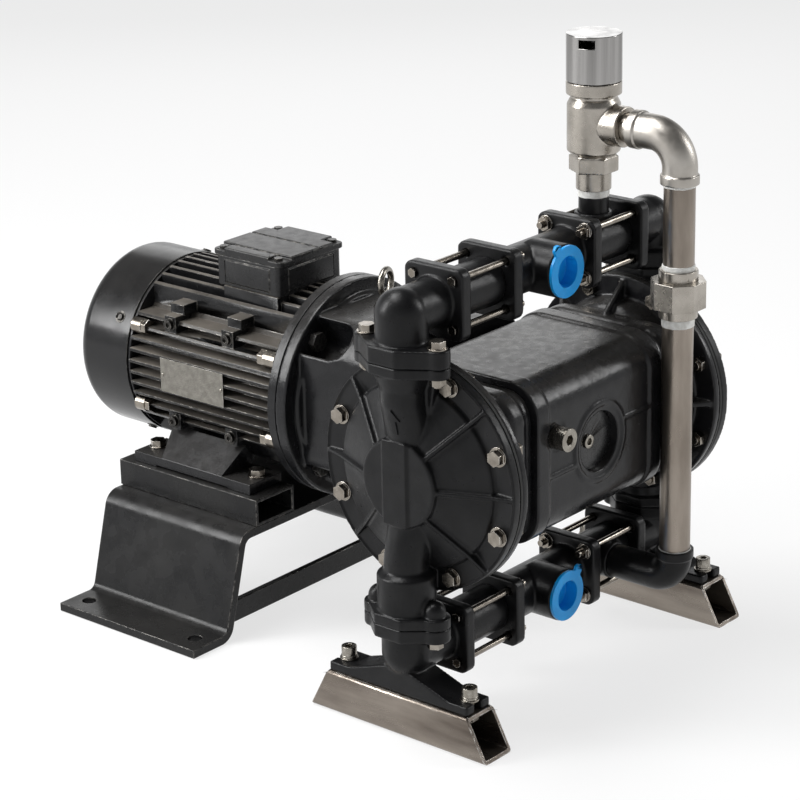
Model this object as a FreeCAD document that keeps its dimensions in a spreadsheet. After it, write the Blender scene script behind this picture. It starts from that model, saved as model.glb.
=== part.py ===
import FreeCAD, Part
import math
import os
import Sketcher
from FreeCAD import Placement, Rotation, Vector

# Electric diaphragm pump. Millimetres, +Z up, standing on z = 0.
# X runs along the diaphragm axis, -Y looks at the capped ports, +Y at the motor.
# Every piece is drawn about the pump's own centre line and then moved forward by pump_back,
# so that the whole unit stands centred over the origin.

SIZES = {
    # overall places
    "crank_height": 220.0,     # crank and diaphragm axis above the floor
    "motor_height": 212.5,     # motor shaft above the floor
    "upper_rise": 142.0,       # crank axis up to the discharge manifold
    "lower_drop": 149.5,       # crank axis down to the suction manifold
    "neck_out": 168.0,         # pump centre to the vertical neck axis
    # rubber, seats and fits
    "running_gap": 0.05,       # radial clearance of a turning or sliding fit
    "loose_gap": 0.4,          # radial clearance of a bolt in its hole
    # foot tubes
    "foot_width": 35.0,
    "foot_tall": 36.5,
    "foot_long": 189.0,        # along the floor
    "foot_mitre": 19.5,        # each end leans in by this much
    "foot_wall": 3.0,
    "foot_bolt_in": 10.0,      # screw from the end of the foot's top face
    "foot_bolt_r": 4.0,
    # cast foot plate of the suction elbow
    "sole_thick": 8.0,         # at the screws
    "sole_rise": 21.0,         # height under the neck
    "sole_short": 2.0,         # shorter than the foot's top face by this
    "sole_wide": 30.0,
    "sole_end_long": 20.0,     # level end that the screw holds
    # elbows and manifold pipes
    "pipe_r": 21.7,            # outside of the cast manifold pipes
    "pipe_bore_r": 14.0,
    "square_side": 60.5,       # square clamp flange
    "square_thick": 11.5,
    "square_round": 8.0,
    "square_face": 116.5,      # spool end of the elbow's square flange
    "tee_face": 60.0,          # spool end of the tee's square flange
    "tie_square": 41.0,        # tie bolts stand on a square of this side
    "tie_r": 3.0,
    "tie_head_r": 4.3,
    "tie_head_tall": 2.5,
    "tie_nut_r": 6.4,
    "tie_washer_r": 7.2,
    "tie_washer_thick": 1.2,
    "tie_nut_tall": 5.0,
    "tie_tail": 5.0,           # thread that stands past the nut
    "spool_r": 21.0,
    "port_face": 36.0,         # port mouth in front of the manifold axis
    "port_r": 23.0,
    "port_bore_r": 15.2,
    "port_inner_r": 12.0,      # passage behind the port's thread
    "port_deep": 14.0,
    # shipping caps
    "cap_r": 22.4,
    "cap_brim": 3.0,
    "cap_cup_wall": 1.8,
    "cap_cup_deep": 11.0,
    "cap_tab_wide": 9.0,
    "cap_tab_out": 7.0,
    "cap_gap": 0.1,
    "cap_lean_upper": -32.0,   # tab's turn from straight up
    "cap_lean_lower": 40.0,
    # oval two-bolt joint between neck and elbow
    "oval_bolt_out": 36.5,
    "oval_end_r": 10.5,
    "low_bolt_out": 29.5,
    "low_end_r": 13.0,
    "oval_mid_r": 26.0,
    "oval_mid_half": 13.5,     # half length of the oval's widest part
    "oval_elbow_thick": 15.0,
    "oval_low_thick": 12.0,
    "oval_neck_thick": 9.0,
    "seam_up": 105.0,          # crank axis up to the joint above the chamber
    "seam_down": 120.0,        # crank axis down to the joint below the chamber
    "lug_boss_r": 9.5,         # bosses for the lower joint's bolts
    "lug_boss_tall": 22.0,
    "low_grip": 14.0,          # thread of the lower joint's bolts in the bosses
    # chamber covers
    "rim_r": 99.0,
    "rim_front": 149.5,        # outer face of the bolted rim
    "rim_back": 142.0,         # outer face of the diaphragm
    "rubber_thick": 2.5,
    "rim_bolt_circle": 89.0,
    "rim_lip": 2.2,            # small raised edge round the rim
    "dome_r": 78.4,            # foot of the dome
    "disc_r": 37.5,            # flat disc in the middle
    "disc_out": 177.0,         # face of the disc
    "dome_wall": 6.0,
    "dome_drop": 6.0,          # the disc stands out of the dome by this
    "band_wide": 25.5,         # upright band across the disc
    "band_proud": 2.3,
    "band_back": 2.2,          # the band lies this far behind the chamber's axis
    "rib_thick": 3.5,
    "neck_r": 18.5,
    "neck_root_r": 21.0,       # neck where it grows out of the dome
    "neck_lean": 33.0,         # height over which it leans in to the dome
    "neck_web_top": 28.0,      # half width of the web under the upper flange
    "neck_web_root": 17.0,
    "neck_web_out": 160.0,
    "collar_r": 24.5,
    "collar_tall": 40.0,
    # ball checks
    "ball_r": 11.0,
    "ball_lift": 6.0,
    "cage_r": 13.5,
    "seat_bore_r": 9.0,
    "seat_tall": 5.0,
    "seat_up": 80.0,           # crank axis up to the discharge seat
    "channel_in": 9.0,         # the flow channel lies this far inside the neck's axis
    # hexagon bolts
    "washer_r": 8.4,
    "low_washer_r": 7.6,
    "washer_thick": 1.5,
    "head_r": 7.0,
    "head_tall": 5.5,
    "nut_tall": 6.0,
    "bolt_past": 2.0,          # thread that stands past a nut
    # inner chambers
    "inner_rim_thick": 7.5,
    "bell_r": 76.0,
    "bell_back": 112.0,
    "groove_long": 9.2,        # waist between the case and the chamber's shoulder
    "groove_deep": 6.0,
    "shoulder_low": 2.5,       # the shoulder is smaller all round than the case by this
    "shoulder_end": 119.0,
    "shoulder_round": 7.0,
    "gusset_thick": 5.0,
    "gusset_in": 56.0,
    "gusset_top": 72.0,
    "gusset_start": 105.0,
    "gusset_gap": 2.5,         # from the gusset's foot to the rim's edge
    "hub_face": 122.0,
    # diaphragm plates and yoke
    "plate_r": 46.0,
    "plate_thick": 7.0,
    "stroke_half": 6.0,
    "rod_r": 10.0,
    "rod_end_r": 6.0,
    "rod_nut_tall": 8.0,
    "yoke_slot_gap": 0.4,
    "yoke_wall": 11.0,
    "yoke_thick": 24.0,
    "bush_wall": 3.0,
    # crank case
    "case_half_long": 87.5,
    "case_half_deep": 74.0,
    "case_up": 72.0,
    "case_down": 70.0,
    "case_round": 30.0,
    "case_wall": 8.0,
    "case_band": 17.0,         # raised band at each end
    "case_band_proud": 2.2,
    "window_r": 26.0,
    "window_ring_in": 31.5,    # thin raised ring round the window
    "window_ring_r": 35.5,
    "window_ring_proud": 1.5,
    "window_deep": 9.8,
    "carrier_r": 31.0,         # boss inside that holds the front bearing
    "wall_rib_tall": 3.0,      # short level ribs beside the window
    "far_rib_up": 10.0,
    "near_rib_down": 9.5,
    "plug_out": 60.0,          # filler plug from the crank axis, sideways
    "plug_up": 22.0,
    "plug_r": 8.5,
    "plug_head_r": 10.0,
    "plug_head_tall": 15.0,
    "plug_recess_r": 13.5,
    "plug_recess_deep": 1.0,
    "window_disc_thick": 3.0,
    "window_screw_r": 6.0,
    "window_screw_tall": 4.0,
    "window_screw_out": 10.0,
    "window_screw_up": 2.0,
    # crank
    "crank_r": 12.0,
    "cam_r": 19.0,
    "cam_wide": 20.0,
    "roller_wall": 6.0,
    "crank_bearing_r": 21.0,
    "crank_bearing_wide": 12.0,
    "crank_front": 62.0,       # crank shaft in front of the yoke's middle
    "crank_back": 157.0,       # crank shaft behind it
    # reducer
    "module": 1.5,
    "motor_teeth": 13.0,
    "counter_teeth": 37.0,
    "second_teeth": 13.0,
    "output_teeth": 27.0,
    "backlash": 0.3,           # play between two meshing flanks, along the pitch circle
    "output_start": 140.0,
    "output_wide": 15.0,
    "first_start": 172.0,
    "first_wide": 14.0,
    "mesh_over": 2.0,          # a pinion is wider than its gear by this at each side
    "gear_cavity_r": 56.0,
    "counter_cavity_r": 36.0,
    "spigot_long": 6.0,
    "pocket_r": 15.0,
    "pocket_long": 43.0,
    "gear_face": 205.0,        # joint between reducer and motor
    "gear_flange_r": 100.0,
    "gear_flange_thick": 12.0,
    "gear_ring_r": 86.5,
    "gear_ring_thick": 4.0,
    "gear_half_wide": 80.0,
    "gear_up": 74.0,
    "gear_down": 80.0,
    "gear_round": 36.0,
    "gear_wall_back": 125.0,   # inside face of the reducer's front wall
    "gear_spigot_r": 45.0,
    "flange_circle": 165.0,
    "flange_bolt_r": 5.0,
    "flange_head_r": 9.2,
    "flange_bolt_head_tall": 6.4,
    "flange_nut_tall": 7.5,
    "counter_journal_r": 5.0,
    "counter_bearing_r": 9.0,
    "counter_bearing_wide": 7.0,
    # motor
    "shield_thick": 9.0,
    "shield_neck": 8.0,        # from the flange to the finned frame
    "frame_long": 178.0,
    "frame_r": 72.0,
    "frame_bore_r": 62.0,
    "fin_r": 86.0,
    "fin_thick": 3.0,
    "fin_pitch": 10.6,
    "lug_out": 76.0,
    "lug_up": 46.5,
    "lug_tall": 16.0,
    "lug_wide": 14.0,
    "lug_root": 16.0,          # the lug starts this far inside the frame
    "step_out": 66.0,          # stepped pad above the upper lug
    "step_wide": 17.0,
    "step_tall": 9.0,
    "lug_gap": 71.0,
    "lug_middle": 113.0,       # from the reducer joint to the middle of the lugs
    "lug_screw_r": 2.5,
    "lug_screw_long": 8.0,
    "lug_screw_head": 4.0,
    "shaft_r": 14.0,
    "tail_r": 10.0,            # shaft end that carries the fan
    "journal_r": 12.0,
    "pinion_shaft_r": 8.0,
    "motor_bearing_r": 26.0,
    "motor_bearing_wide": 15.0,
    "front_bearing_in": 4.0,   # from the reducer joint to the front bearing
    "rear_bearing_in": 9.0,    # rear bearing starts this far inside the frame's end
    "bearing_boss_wall": 8.0,
    "core_r": 45.0,
    "core_long": 120.0,
    "winding_in": 4.0,
    "winding_out": 12.0,
    "air_gap": 0.5,
    "rear_shield_thick": 12.0,
    "cover_r": 86.0,
    "cover_wall": 1.6,
    "cover_gap": 3.0,          # from the finned frame to the rim of the fan cover
    "cover_long": 66.0,
    "cover_round": 14.0,
    "fan_r": 72.0,
    "fan_hub_r": 16.0,
    "fan_wide": 24.0,
    "fan_back": 25.0,          # from the frame's end to the fan
    "fan_tail_short": 4.0,
    "fan_disc_r": 60.0,
    "fan_disc_thick": 2.5,
    "fan_blade_thick": 2.5,
    "grille_slots": 18.0,
    "grille_in": 22.0,
    "grille_out": 66.0,
    "grille_wide": 5.0,
    # terminal box
    "box_wide": 84.0,
    "box_long": 78.0,
    "box_up": 82.5,            # motor shaft up to the box's floor
    "box_tall": 28.0,
    "box_wall": 3.5,
    "box_panel_proud": 0.8,    # raised field on the box's sides
    "box_panel_in": 12.0,
    "box_panel_edge": 3.5,
    "base_wide": 86.0,
    "base_front": 37.0,        # base from the box's middle, towards the reducer
    "base_back": 29.0,
    "base_tall": 26.0,
    "box_middle": 82.0,        # from the reducer joint
    "box_round": 6.0,
    "lid_thick": 8.0,
    "lid_over": 1.0,
    "lid_over_long": 3.0,
    "lid_edge_round": 1.5,
    "lid_corner": 15.0,        # sunk corner round each lid screw
    "lid_corner_deep": 3.0,
    "lid_groove": 2.2,         # two grooves along the lid
    "lid_groove_deep": 1.2,
    "lid_groove_near": 31.5,
    "lid_groove_far": 7.0,
    "lid_screw_in": 6.0,
    "lid_screw_r": 2.0,
    "lid_screw_head": 2.5,
    "lid_screw_grip": 10.0,
    "entry_r": 10.0,           # cable entry in the side away from the ports
    # motor mounting
    "tube_wide": 50.0,
    "tube_tall": 25.0,
    "tube_wall": 3.0,
    "tube_out": 72.0,
    "tube_extra": 2.0,         # tube stands out behind the bracket by this
    "motor_foot_wide": 42.0,
    "motor_foot_long": 146.0,
    "motor_foot_thick": 10.0,
    "motor_foot_out": 70.0,
    "motor_foot_middle": 115.5,  # from the reducer joint to the middle of the feet
    "motor_bolt_gap": 125.0,
    "motor_bolt_r": 4.0,
    "motor_bolt_head_r": 7.5,
    "foot_web_low": 37.5,      # half length of the foot's sloped web at its foot
    "foot_web_high": 46.0,     # and at its top
    "foot_web_rise": 25.0,
    "foot_web_in": 26.0,
    "foot_relief": 1.5,        # the pad is hollow underneath by this
    "foot_relief_half": 45.0,
    # bent bracket
    "bracket_thick": 8.0,
    "bracket_tall": 97.5,
    "bracket_front": 234.8,
    "bracket_deep": 171.0,
    "bracket_foot_out": 183.8,
    "bracket_leg_foot": 141.0,
    "bracket_leg_top": 117.0,
    "bracket_bend": 8.0,
    "bracket_hole_out": 163.5,
    "bracket_hole_gap": 135.0,
    "bracket_hole_r": 6.5,
    "bar_tall": 20.0,
    "bar_low": 16.0,
    "bar_thick": 6.0,
    # lifting eye
    "eye_back": 160.0,
    "eye_r": 11.5,
    "eye_wire_r": 2.9,
    "eye_turn": 17.5,          # degrees that the eye looks away from the shaft
    "eye_up": 22.0,
    "eye_shank_r": 4.0,
    "eye_shank_long": 7.0,
    # relief valve and bypass
    "riser_r": 13.0,
    "riser_top": 408.0,
    "boss_r": 16.5,
    "boss_up": 26.0,
    "sleeve_r": 15.2,
    "riser_bore_r": 10.0,
    "thread_deep": 8.0,
    "sleeve_top": 424.0,
    "hex_r": 21.4,
    "hex_tall": 13.0,
    "seat_rise": 13.0,         # poppet seat above the hexagon foot
    "valve_r": 23.0,
    "valve_tall": 50.0,        # hexagon foot to neck
    "valve_wall": 4.0,
    "valve_neck_r": 19.5,
    "valve_neck_tall": 4.0,
    "valve_collar_tall": 11.0,
    "outlet_up": 29.0,         # outlet axis above the hexagon foot
    "outlet_boss_r": 17.4,
    "outlet_reach": 34.0,
    "outlet_bore_r": 9.0,
    "bonnet_r": 12.0,
    "bonnet_tall": 10.0,
    "stem_r": 6.0,
    "cap_under": 0.4,
    "valve_cap_r": 23.8,
    "valve_cap_tall": 40.6,
    "cap_shell_wall": 2.5,
    "slot_wide": 14.0,
    "slot_tall": 7.0,
    "slot_under": 3.0,         # sight slot below the cap's top edge
    "slot_turn": 20.5,         # degrees from the diaphragm axis
    "poppet_r": 12.0,
    "poppet_seat_r": 9.0,
    "poppet_tall": 5.0,
    "poppet_guide_r": 5.0,
    "spring_long": 20.0,
    "spring_r": 8.5,
    "spring_wire_r": 1.2,
    "plate_tall": 3.0,
    "bypass_out": 88.5,
    "bypass_r": 13.45,
    "bypass_wall": 2.6,
    "bend_r": 27.0,
    "bend_pipe_r": 15.0,
    "bead_r": 16.6,
    "bead_long": 8.0,
    "nipple_r": 12.0,
    "elbow_mouth": 42.0,       # mouth of the bright elbow in front of the valve's axis
    "elbow_foot": 13.0,
    "low_bend_r": 20.0,
    "elbow_head": 8.0,
    "union_top": 352.0,
    "union_long": 42.0,
    "union_hex_r": 17.0,
    "union_hex_tall": 9.0,
    "union_tail_r": 16.5,
    "union_nut_r": 24.0,
}

doc = FreeCAD.newDocument("diaphragm_pump")
sheet = doc.addObject("Spreadsheet::Sheet", "Sizes")


class Size:
    """A length that carries its number and the sheet formula that gives it."""

    def __init__(self, number, formula):
        self.number = number
        self.formula = formula

    def __float__(self):
        return self.number

    def __neg__(self):
        return Size(-self.number, f"(0 - {self.formula})")

    def __add__(self, other):
        return Size(self.number + float(other), f"({self.formula} + {formula(other)})")

    def __radd__(self, other):
        return Size(float(other) + self.number, f"({formula(other)} + {self.formula})")

    def __sub__(self, other):
        return Size(self.number - float(other), f"({self.formula} - {formula(other)})")

    def __rsub__(self, other):
        return Size(float(other) - self.number, f"({formula(other)} - {self.formula})")

    def __mul__(self, other):
        return Size(self.number * float(other), f"({self.formula} * {formula(other)})")

    def __rmul__(self, other):
        return Size(float(other) * self.number, f"({formula(other)} * {self.formula})")

    def __truediv__(self, other):
        return Size(self.number / float(other), f"({self.formula} / {formula(other)})")


def formula(value):
    """Text of a value as it stands in a sheet formula."""
    return value.formula if isinstance(value, Size) else f"{float(value):.9g}"


class Sheet:
    """Names the cells of the sheet as sizes."""


v = Sheet()
for row, (alias, number) in enumerate(SIZES.items(), start=1):
    sheet.set(f"A{row}", alias)
    sheet.set(f"B{row}", str(number))
    sheet.setAlias(f"B{row}", alias)
    setattr(v, alias, Size(number, "Sizes." + alias))
doc.recompute()

TURNS = {
    "Z": Rotation(),
    "-Z": Rotation(Vector(1, 0, 0), 180),
    "X": Rotation(Vector(0, 1, 0), 90),
    "-X": Rotation(Vector(0, 1, 0), -90),
    "Y": Rotation(Vector(1, 0, 0), -90),
    "-Y": Rotation(Vector(1, 0, 0), 90),
}
names = {}
nodes = []


def add(kind, name):
    """New document object, with a running number where a name comes again."""
    names[name] = names.get(name, 0) + 1
    return doc.addObject(kind, name if names[name] == 1 else f"{name}_{names[name]}")


def bind(item, **values):
    """Sets each property, by formula where the value comes from the sheet."""
    for prop, value in values.items():
        setattr(item, prop, float(value))
        if isinstance(value, Size):
            item.setExpression(prop, value.formula)


def place(item, spot, turn=None):
    """Puts an object at a spot whose coordinates may come from the sheet."""
    item.Placement = Placement(Vector(*[float(c) for c in spot]), turn or Rotation())
    for letter, value in zip("xyz", spot):
        if isinstance(value, Size):
            item.setExpression(f"Placement.Base.{letter}", value.formula)
    return item


def block(name, low, high):
    """Box between its low and its high corner."""
    item = add("Part::Box", name)
    bind(item, Length=high[0] - low[0], Width=high[1] - low[1], Height=high[2] - low[2])
    return place(item, low)


def rod(name, radius, length, start, axis="Z"):
    """Round bar from its start along an axis."""
    item = add("Part::Cylinder", name)
    bind(item, Radius=radius, Height=length)
    return place(item, start, TURNS[axis])


def taper(name, radius, end_radius, length, start, axis="Z"):
    """Cone frustum from its start along an axis."""
    item = add("Part::Cone", name)
    bind(item, Radius1=radius, Radius2=end_radius, Height=length)
    return place(item, start, TURNS[axis])


def ball(name, radius, spot):
    """Sphere."""
    item = add("Part::Sphere", name)
    bind(item, Radius=radius)
    return place(item, spot)


def prism(name, corners, radius, length, start, axis="Z", turn=0.0):
    """Regular prism, such as a hexagon head, from its start along an axis."""
    item = add("Part::Prism", name)
    item.Polygon = corners
    bind(item, Circumradius=radius, Height=length)
    return place(item, start, TURNS[axis].multiply(Rotation(Vector(0, 0, 1), turn)))


def ring(name, mean_radius, wire_radius, spot, axis="Z", sweep=360.0, spin=0.0):
    """Whole or part torus."""
    item = add("Part::Torus", name)
    bind(item, Radius1=mean_radius, Radius2=wire_radius)
    item.Angle3 = sweep
    return place(item, spot, TURNS[axis].multiply(Rotation(Vector(0, 0, 1), spin)))


def fuse(name, *pieces):
    """One solid from several."""
    item = add("Part::MultiFuse", name)
    item.Shapes = list(pieces)
    item.Refine = True
    return item


def cut(name, base, *tools):
    """A solid with others taken out of it."""
    item = add("Part::Cut", name)
    item.Base = base
    item.Tool = tools[0] if len(tools) == 1 else fuse(name + "_tools", *tools)
    item.Refine = True
    return item


def common(name, first, second):
    """What two solids share."""
    item = add("Part::Common", name)
    item.Base = first
    item.Tool = second
    return item


def mirror_x(item):
    """The same piece on the other side of the pump."""
    copy = add("Part::Mirroring", item.Name + "_far")
    copy.Source = item
    copy.Normal = Vector(1, 0, 0)
    return copy


def outline(name, points, spot=(0, 0, 0), turn=None):
    """Closed sketch of straight lines through points, each coordinate driven by the sheet."""
    sketch = add("Sketcher::SketchObject", name)
    count = len(points)
    flat = [Vector(float(a), float(b), 0) for a, b in points]
    for i in range(count):
        sketch.addGeometry(Part.LineSegment(flat[i], flat[(i + 1) % count]), False)
    for i in range(count):
        sketch.addConstraint(Sketcher.Constraint("Coincident", i, 2, (i + 1) % count, 1))
    for i, point in enumerate(points):
        for kind, value in zip(("DistanceX", "DistanceY"), point):
            where = sketch.addConstraint(Sketcher.Constraint(kind, i, 1, float(value)))
            if isinstance(value, Size):
                sketch.setExpression(f"Constraints[{where}]", value.formula)
    return place(sketch, spot, turn)


def extrude(name, points, length, spot, axis):
    """Prism of an outline. The outline's x and y are the two axes across the given one."""
    turns = {
        "X": Rotation(Vector(0, 1, 0), Vector(0, 0, 1), Vector(1, 0, 0), "ZXY"),
        "Y": Rotation(Vector(1, 0, 0), 90),
        "Z": Rotation(),
    }
    item = add("Part::Extrusion", name)
    item.Base = outline(name + "_outline", points, spot, turns[axis])
    item.DirMode = "Custom"
    item.Dir = {"X": Vector(1, 0, 0), "Y": Vector(0, 1, 0), "Z": Vector(0, 0, 1)}[axis]
    item.Solid = True
    bind(item, LengthFwd=length)
    return item


def revolve(name, points, spot=(0, 0, 0), axis="Z"):
    """Solid of revolution. Each point is a radius and a distance along the axis."""
    item = add("Part::Revolution", name)
    item.Source = outline(name + "_outline", points, turn=Rotation(Vector(1, 0, 0), 90))
    item.Axis = Vector(0, 0, 1)
    item.Angle = 360.0
    item.Solid = True
    return place(item, spot, TURNS[axis])


def rounded_bar(name, half_x, low_z, high_z, radius, start, length, axis):
    """Bar along X or Y whose section is a rectangle with round corners."""
    across = {"X": 1, "Y": 0}[axis]
    along = {"X": 0, "Y": 1}[axis]

    def corner(a, b, c):
        spot = [0, 0, 0]
        spot[across] = a
        spot[along] = b
        spot[2] = c
        return tuple(spot)

    pieces = [
        block(name + "_wide", corner(-half_x, start, low_z + radius),
              corner(half_x, start + length, high_z - radius)),
        block(name + "_tall", corner(radius - half_x, start, low_z),
              corner(half_x - radius, start + length, high_z)),
    ]
    for a in (radius - half_x, half_x - radius):
        for c in (low_z + radius, high_z - radius):
            pieces.append(rod(name + "_corner", radius, length, corner(a, start, c), axis))
    return fuse(name, *pieces)


def node(name, *pieces):
    """A finished sub-part: one solid, or a group of like solids, moved to its place."""
    for piece in pieces:
        piece.Label = name + " solid"
    item = add("Part::Compound", name)
    item.Links = list(pieces)
    item.Label = name
    nodes.append(item)
    return place(item, (0, -pump_back, 0))


def rounds(name, base, radius, pick):
    """Rounds the edges that a test of each edge picks out."""
    doc.recompute()
    chosen = [i + 1 for i, edge in enumerate(base.Shape.Edges) if pick(edge)]
    item = add("Part::Fillet", name)
    item.Base = base
    item.Edges = [(i, float(radius), float(radius)) for i in chosen]
    return item


# Heights and places that several pieces share.
upper_z = v.crank_height + v.upper_rise
lower_z = v.crank_height - v.lower_drop
frame_start = v.gear_face + v.shield_thick + v.shield_neck
frame_end = frame_start + v.frame_long
counter_height = v.motor_height + v.module * (v.motor_teeth + v.counter_teeth) / 2
upper_seam = v.crank_height + v.seam_up
lower_seam = v.crank_height - v.seam_down
upper_seat_z = v.crank_height + v.seat_up
foot_bolt_out = v.foot_long / 2 - v.foot_mitre - v.foot_bolt_in
sole_long = v.foot_long - v.foot_mitre * 2 - v.sole_short
case_front = v.case_half_deep - v.case_band_proud
box_bottom = v.motor_height + v.box_up
tie_spots = [(a, b) for a in (-1, 1) for b in (-1, 1)]
foot_middle = v.gear_face + v.motor_foot_middle
core_middle = frame_start + v.frame_long / 2
rear_crank_bearing = v.gear_wall_back - v.crank_bearing_wide * 2
bypass_x = (v.square_face + v.tee_face) / 2
cover_start = frame_end + v.cover_gap
rear_end = cover_start + v.cover_long
front_end = v.bypass_out + v.union_nut_r * math.cos(math.radians(22.5))
pump_back = (rear_end - front_end) / 2
hex_top = v.sleeve_top + v.hex_tall
seat_z = hex_top + v.seat_rise
outlet_z = hex_top + v.outlet_up
neck_low = hex_top + v.valve_tall
collar_low = neck_low + v.valve_neck_tall
collar_top = collar_low + v.valve_collar_tall
spring_top = seat_z + v.poppet_tall + v.spring_long
union_low = v.union_top - v.union_long
ball_rest = math.sqrt(float(v.ball_r) ** 2 - float(v.seat_bore_r) ** 2) + 0.02


def foot_tube():
    """Rectangular tube with mitred ends, drilled on top for the two screws."""
    half = v.foot_long / 2
    lean = half - v.foot_mitre
    bar = extrude("foot_bar", [(-half, 0), (half, 0), (lean, v.foot_tall), (-lean, v.foot_tall)],
                  v.foot_width, (-v.neck_out - v.foot_width / 2, 0, 0), "X")
    inside = block("foot_inside",
                   (-v.neck_out - v.foot_width / 2 + v.foot_wall, -half - 1, v.foot_wall),
                   (-v.neck_out + v.foot_width / 2 - v.foot_wall, half + 1,
                    v.foot_tall - v.foot_wall))
    holes = [rod("foot_hole", v.foot_bolt_r + v.loose_gap, v.foot_wall + 2,
                 (-v.neck_out, side * foot_bolt_out, v.foot_tall - v.foot_wall - 1))
             for side in (-1, 1)]
    return cut("foot_tube", bar, inside, *holes)


def foot_bolting():
    """Socket screws with washers above the foot plate and nuts inside the tube."""
    solids = []
    top = v.foot_tall + v.sole_thick
    washer = 1.6
    spring_washer = 2.0
    head_tall = 8.0
    nut_tall = 6.5
    thread_past_nut = 2.0
    for x in (-v.neck_out, v.neck_out):
        for side in (-1, 1):
            y = side * foot_bolt_out
            under = v.foot_tall - v.foot_wall
            shank = rod("foot_shank", v.foot_bolt_r, top - under + nut_tall + thread_past_nut,
                        (x, y, under - nut_tall - thread_past_nut))
            flat = rod("foot_washer", v.foot_bolt_r * 2, washer, (x, y, top))
            spring = rod("foot_spring_washer", v.foot_bolt_r * 1.65, spring_washer,
                         (x, y, top + washer))
            head_low = top + washer + spring_washer
            head = rod("foot_head", v.foot_bolt_r * 1.62, head_tall, (x, y, head_low))
            socket = prism("foot_socket", 6, v.foot_bolt_r * 0.85, head_tall / 2 + 1,
                           (x, y, head_low + head_tall / 2))
            solids.append(cut("foot_screw", fuse("foot_screw_solid", shank, flat, spring, head),
                              socket))
            nut = prism("foot_nut", 6, v.foot_bolt_r * 1.85, nut_tall, (x, y, under - nut_tall))
            solids.append(cut("foot_nut_bored", nut,
                              rod("foot_nut_bore", v.foot_bolt_r, nut_tall + 2,
                                  (x, y, under - nut_tall - 1))))
    return solids


def square_flange(name, start, z):
    """Square clamp flange with round corners, standing across the manifold."""
    half = v.square_side / 2
    low = z - half
    high = z + half
    return rounded_bar(name, half, low, high, v.square_round, start, v.square_thick, "X")


def tie_holes(name, start, length, z):
    """The four tie bolt holes of one square flange."""
    half = v.tie_square / 2
    return [rod(name, v.tie_r + v.loose_gap, length, (start, a * half, z + b * half), "X")
            for a, b in tie_spots]


def oval_plate(name, low, thick, out, end_r):
    """Two-bolt oval flange round the near neck axis."""
    mid = v.oval_mid_half
    plate = extrude(name + "_web",
                    [(-v.neck_out - end_r, -out), (-v.neck_out + end_r, -out),
                     (-v.neck_out + v.oval_mid_r, -mid), (-v.neck_out + v.oval_mid_r, mid),
                     (-v.neck_out + end_r, out), (-v.neck_out - end_r, out),
                     (-v.neck_out - v.oval_mid_r, mid), (-v.neck_out - v.oval_mid_r, -mid)],
                    thick, (0, 0, low), "Z")
    ends = [rod(name + "_end", end_r, thick, (-v.neck_out, side * out, low)) for side in (-1, 1)]
    return fuse(name, plate, *ends)


def oval_holes(name, low, thick, out):
    """Bolt holes of one oval flange."""
    return [rod(name, v.motor_bolt_r + v.loose_gap, thick + 2,
                (-v.neck_out, side * out, low - 1)) for side in (-1, 1)]


def elbow(name, z, flange_low, flange_thick, out, end_r, open_low, open_high):
    """Cast elbow: upright leg, round corner and arm that ends in the square flange."""
    arm_end = v.square_face
    x = -v.neck_out
    pieces = [
        rod(name + "_leg", v.pipe_r, open_high - open_low, (x, 0, open_low)),
        ball(name + "_corner", v.pipe_r, (x, 0, z)),
        rod(name + "_arm", v.pipe_r - 1.0, v.neck_out - arm_end - v.square_thick, (x, 0, z), "X"),
        square_flange(name + "_square", -arm_end - v.square_thick, z),
        oval_plate(name + "_oval", flange_low, flange_thick, out, end_r),
    ]
    bores = [
        ball(name + "_bend_bore", v.pipe_bore_r, (x, 0, z)),
        rod(name + "_arm_bore", v.pipe_bore_r, v.neck_out - arm_end + 1, (x, 0, z), "X"),
        *tie_holes(name + "_tie_hole", -arm_end - v.square_thick - 1, v.square_thick + 2, z),
        *oval_holes(name + "_oval_hole", flange_low, flange_thick, out),
    ]
    return pieces, bores


def discharge_elbow():
    """Upper elbow, bolted on the neck's oval flange."""
    seam = upper_seam
    pieces, bores = elbow("upper_elbow", upper_z, seam, v.oval_elbow_thick, v.oval_bolt_out,
                          v.oval_end_r, seam, upper_z)
    bores.append(rod("upper_leg_bore", v.seat_bore_r, upper_z - seam + 1,
                     (-v.neck_out, 0, seam - 1)))
    return cut("discharge_elbow", fuse("upper_elbow_body", *pieces), *bores)


def suction_elbow():
    """Lower elbow, which also carries the pump on its foot plate."""
    seam = lower_seam
    low = v.foot_tall
    thick = v.oval_low_thick
    pieces, bores = elbow("lower_elbow", lower_z, seam - thick, thick, v.low_bolt_out,
                          v.low_end_r, lower_z, seam)
    half = sole_long / 2
    level = half - v.sole_end_long
    top = v.sole_wide / 2
    sole = extrude("sole", [(-half, low), (half, low), (half, low + v.sole_thick),
                            (level, low + v.sole_thick), (top, low + v.sole_rise),
                            (-top, low + v.sole_rise), (-level, low + v.sole_thick),
                            (-half, low + v.sole_thick)],
                   v.sole_wide, (-v.neck_out - v.sole_wide / 2, 0, 0), "X")
    slot_r = v.foot_bolt_r + v.loose_gap
    for side in (-1, 1):
        out = side * foot_bolt_out
        bores.append(rod("sole_slot_end", slot_r, v.sole_thick + 2, (-v.neck_out, out, low - 1)))
        near, far = (out, half + 1) if side > 0 else (-half - 1, out)
        bores.append(block("sole_slot", (-v.neck_out - slot_r, near, low - 1),
                           (-v.neck_out + slot_r, far, low + v.sole_thick + 1)))
    bores.append(rod("lower_leg_bore", v.seat_bore_r, seam - lower_z + 1, (-v.neck_out, 0, lower_z)))
    return cut("suction_elbow", fuse("lower_elbow_body", sole, *pieces), *bores)


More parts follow.
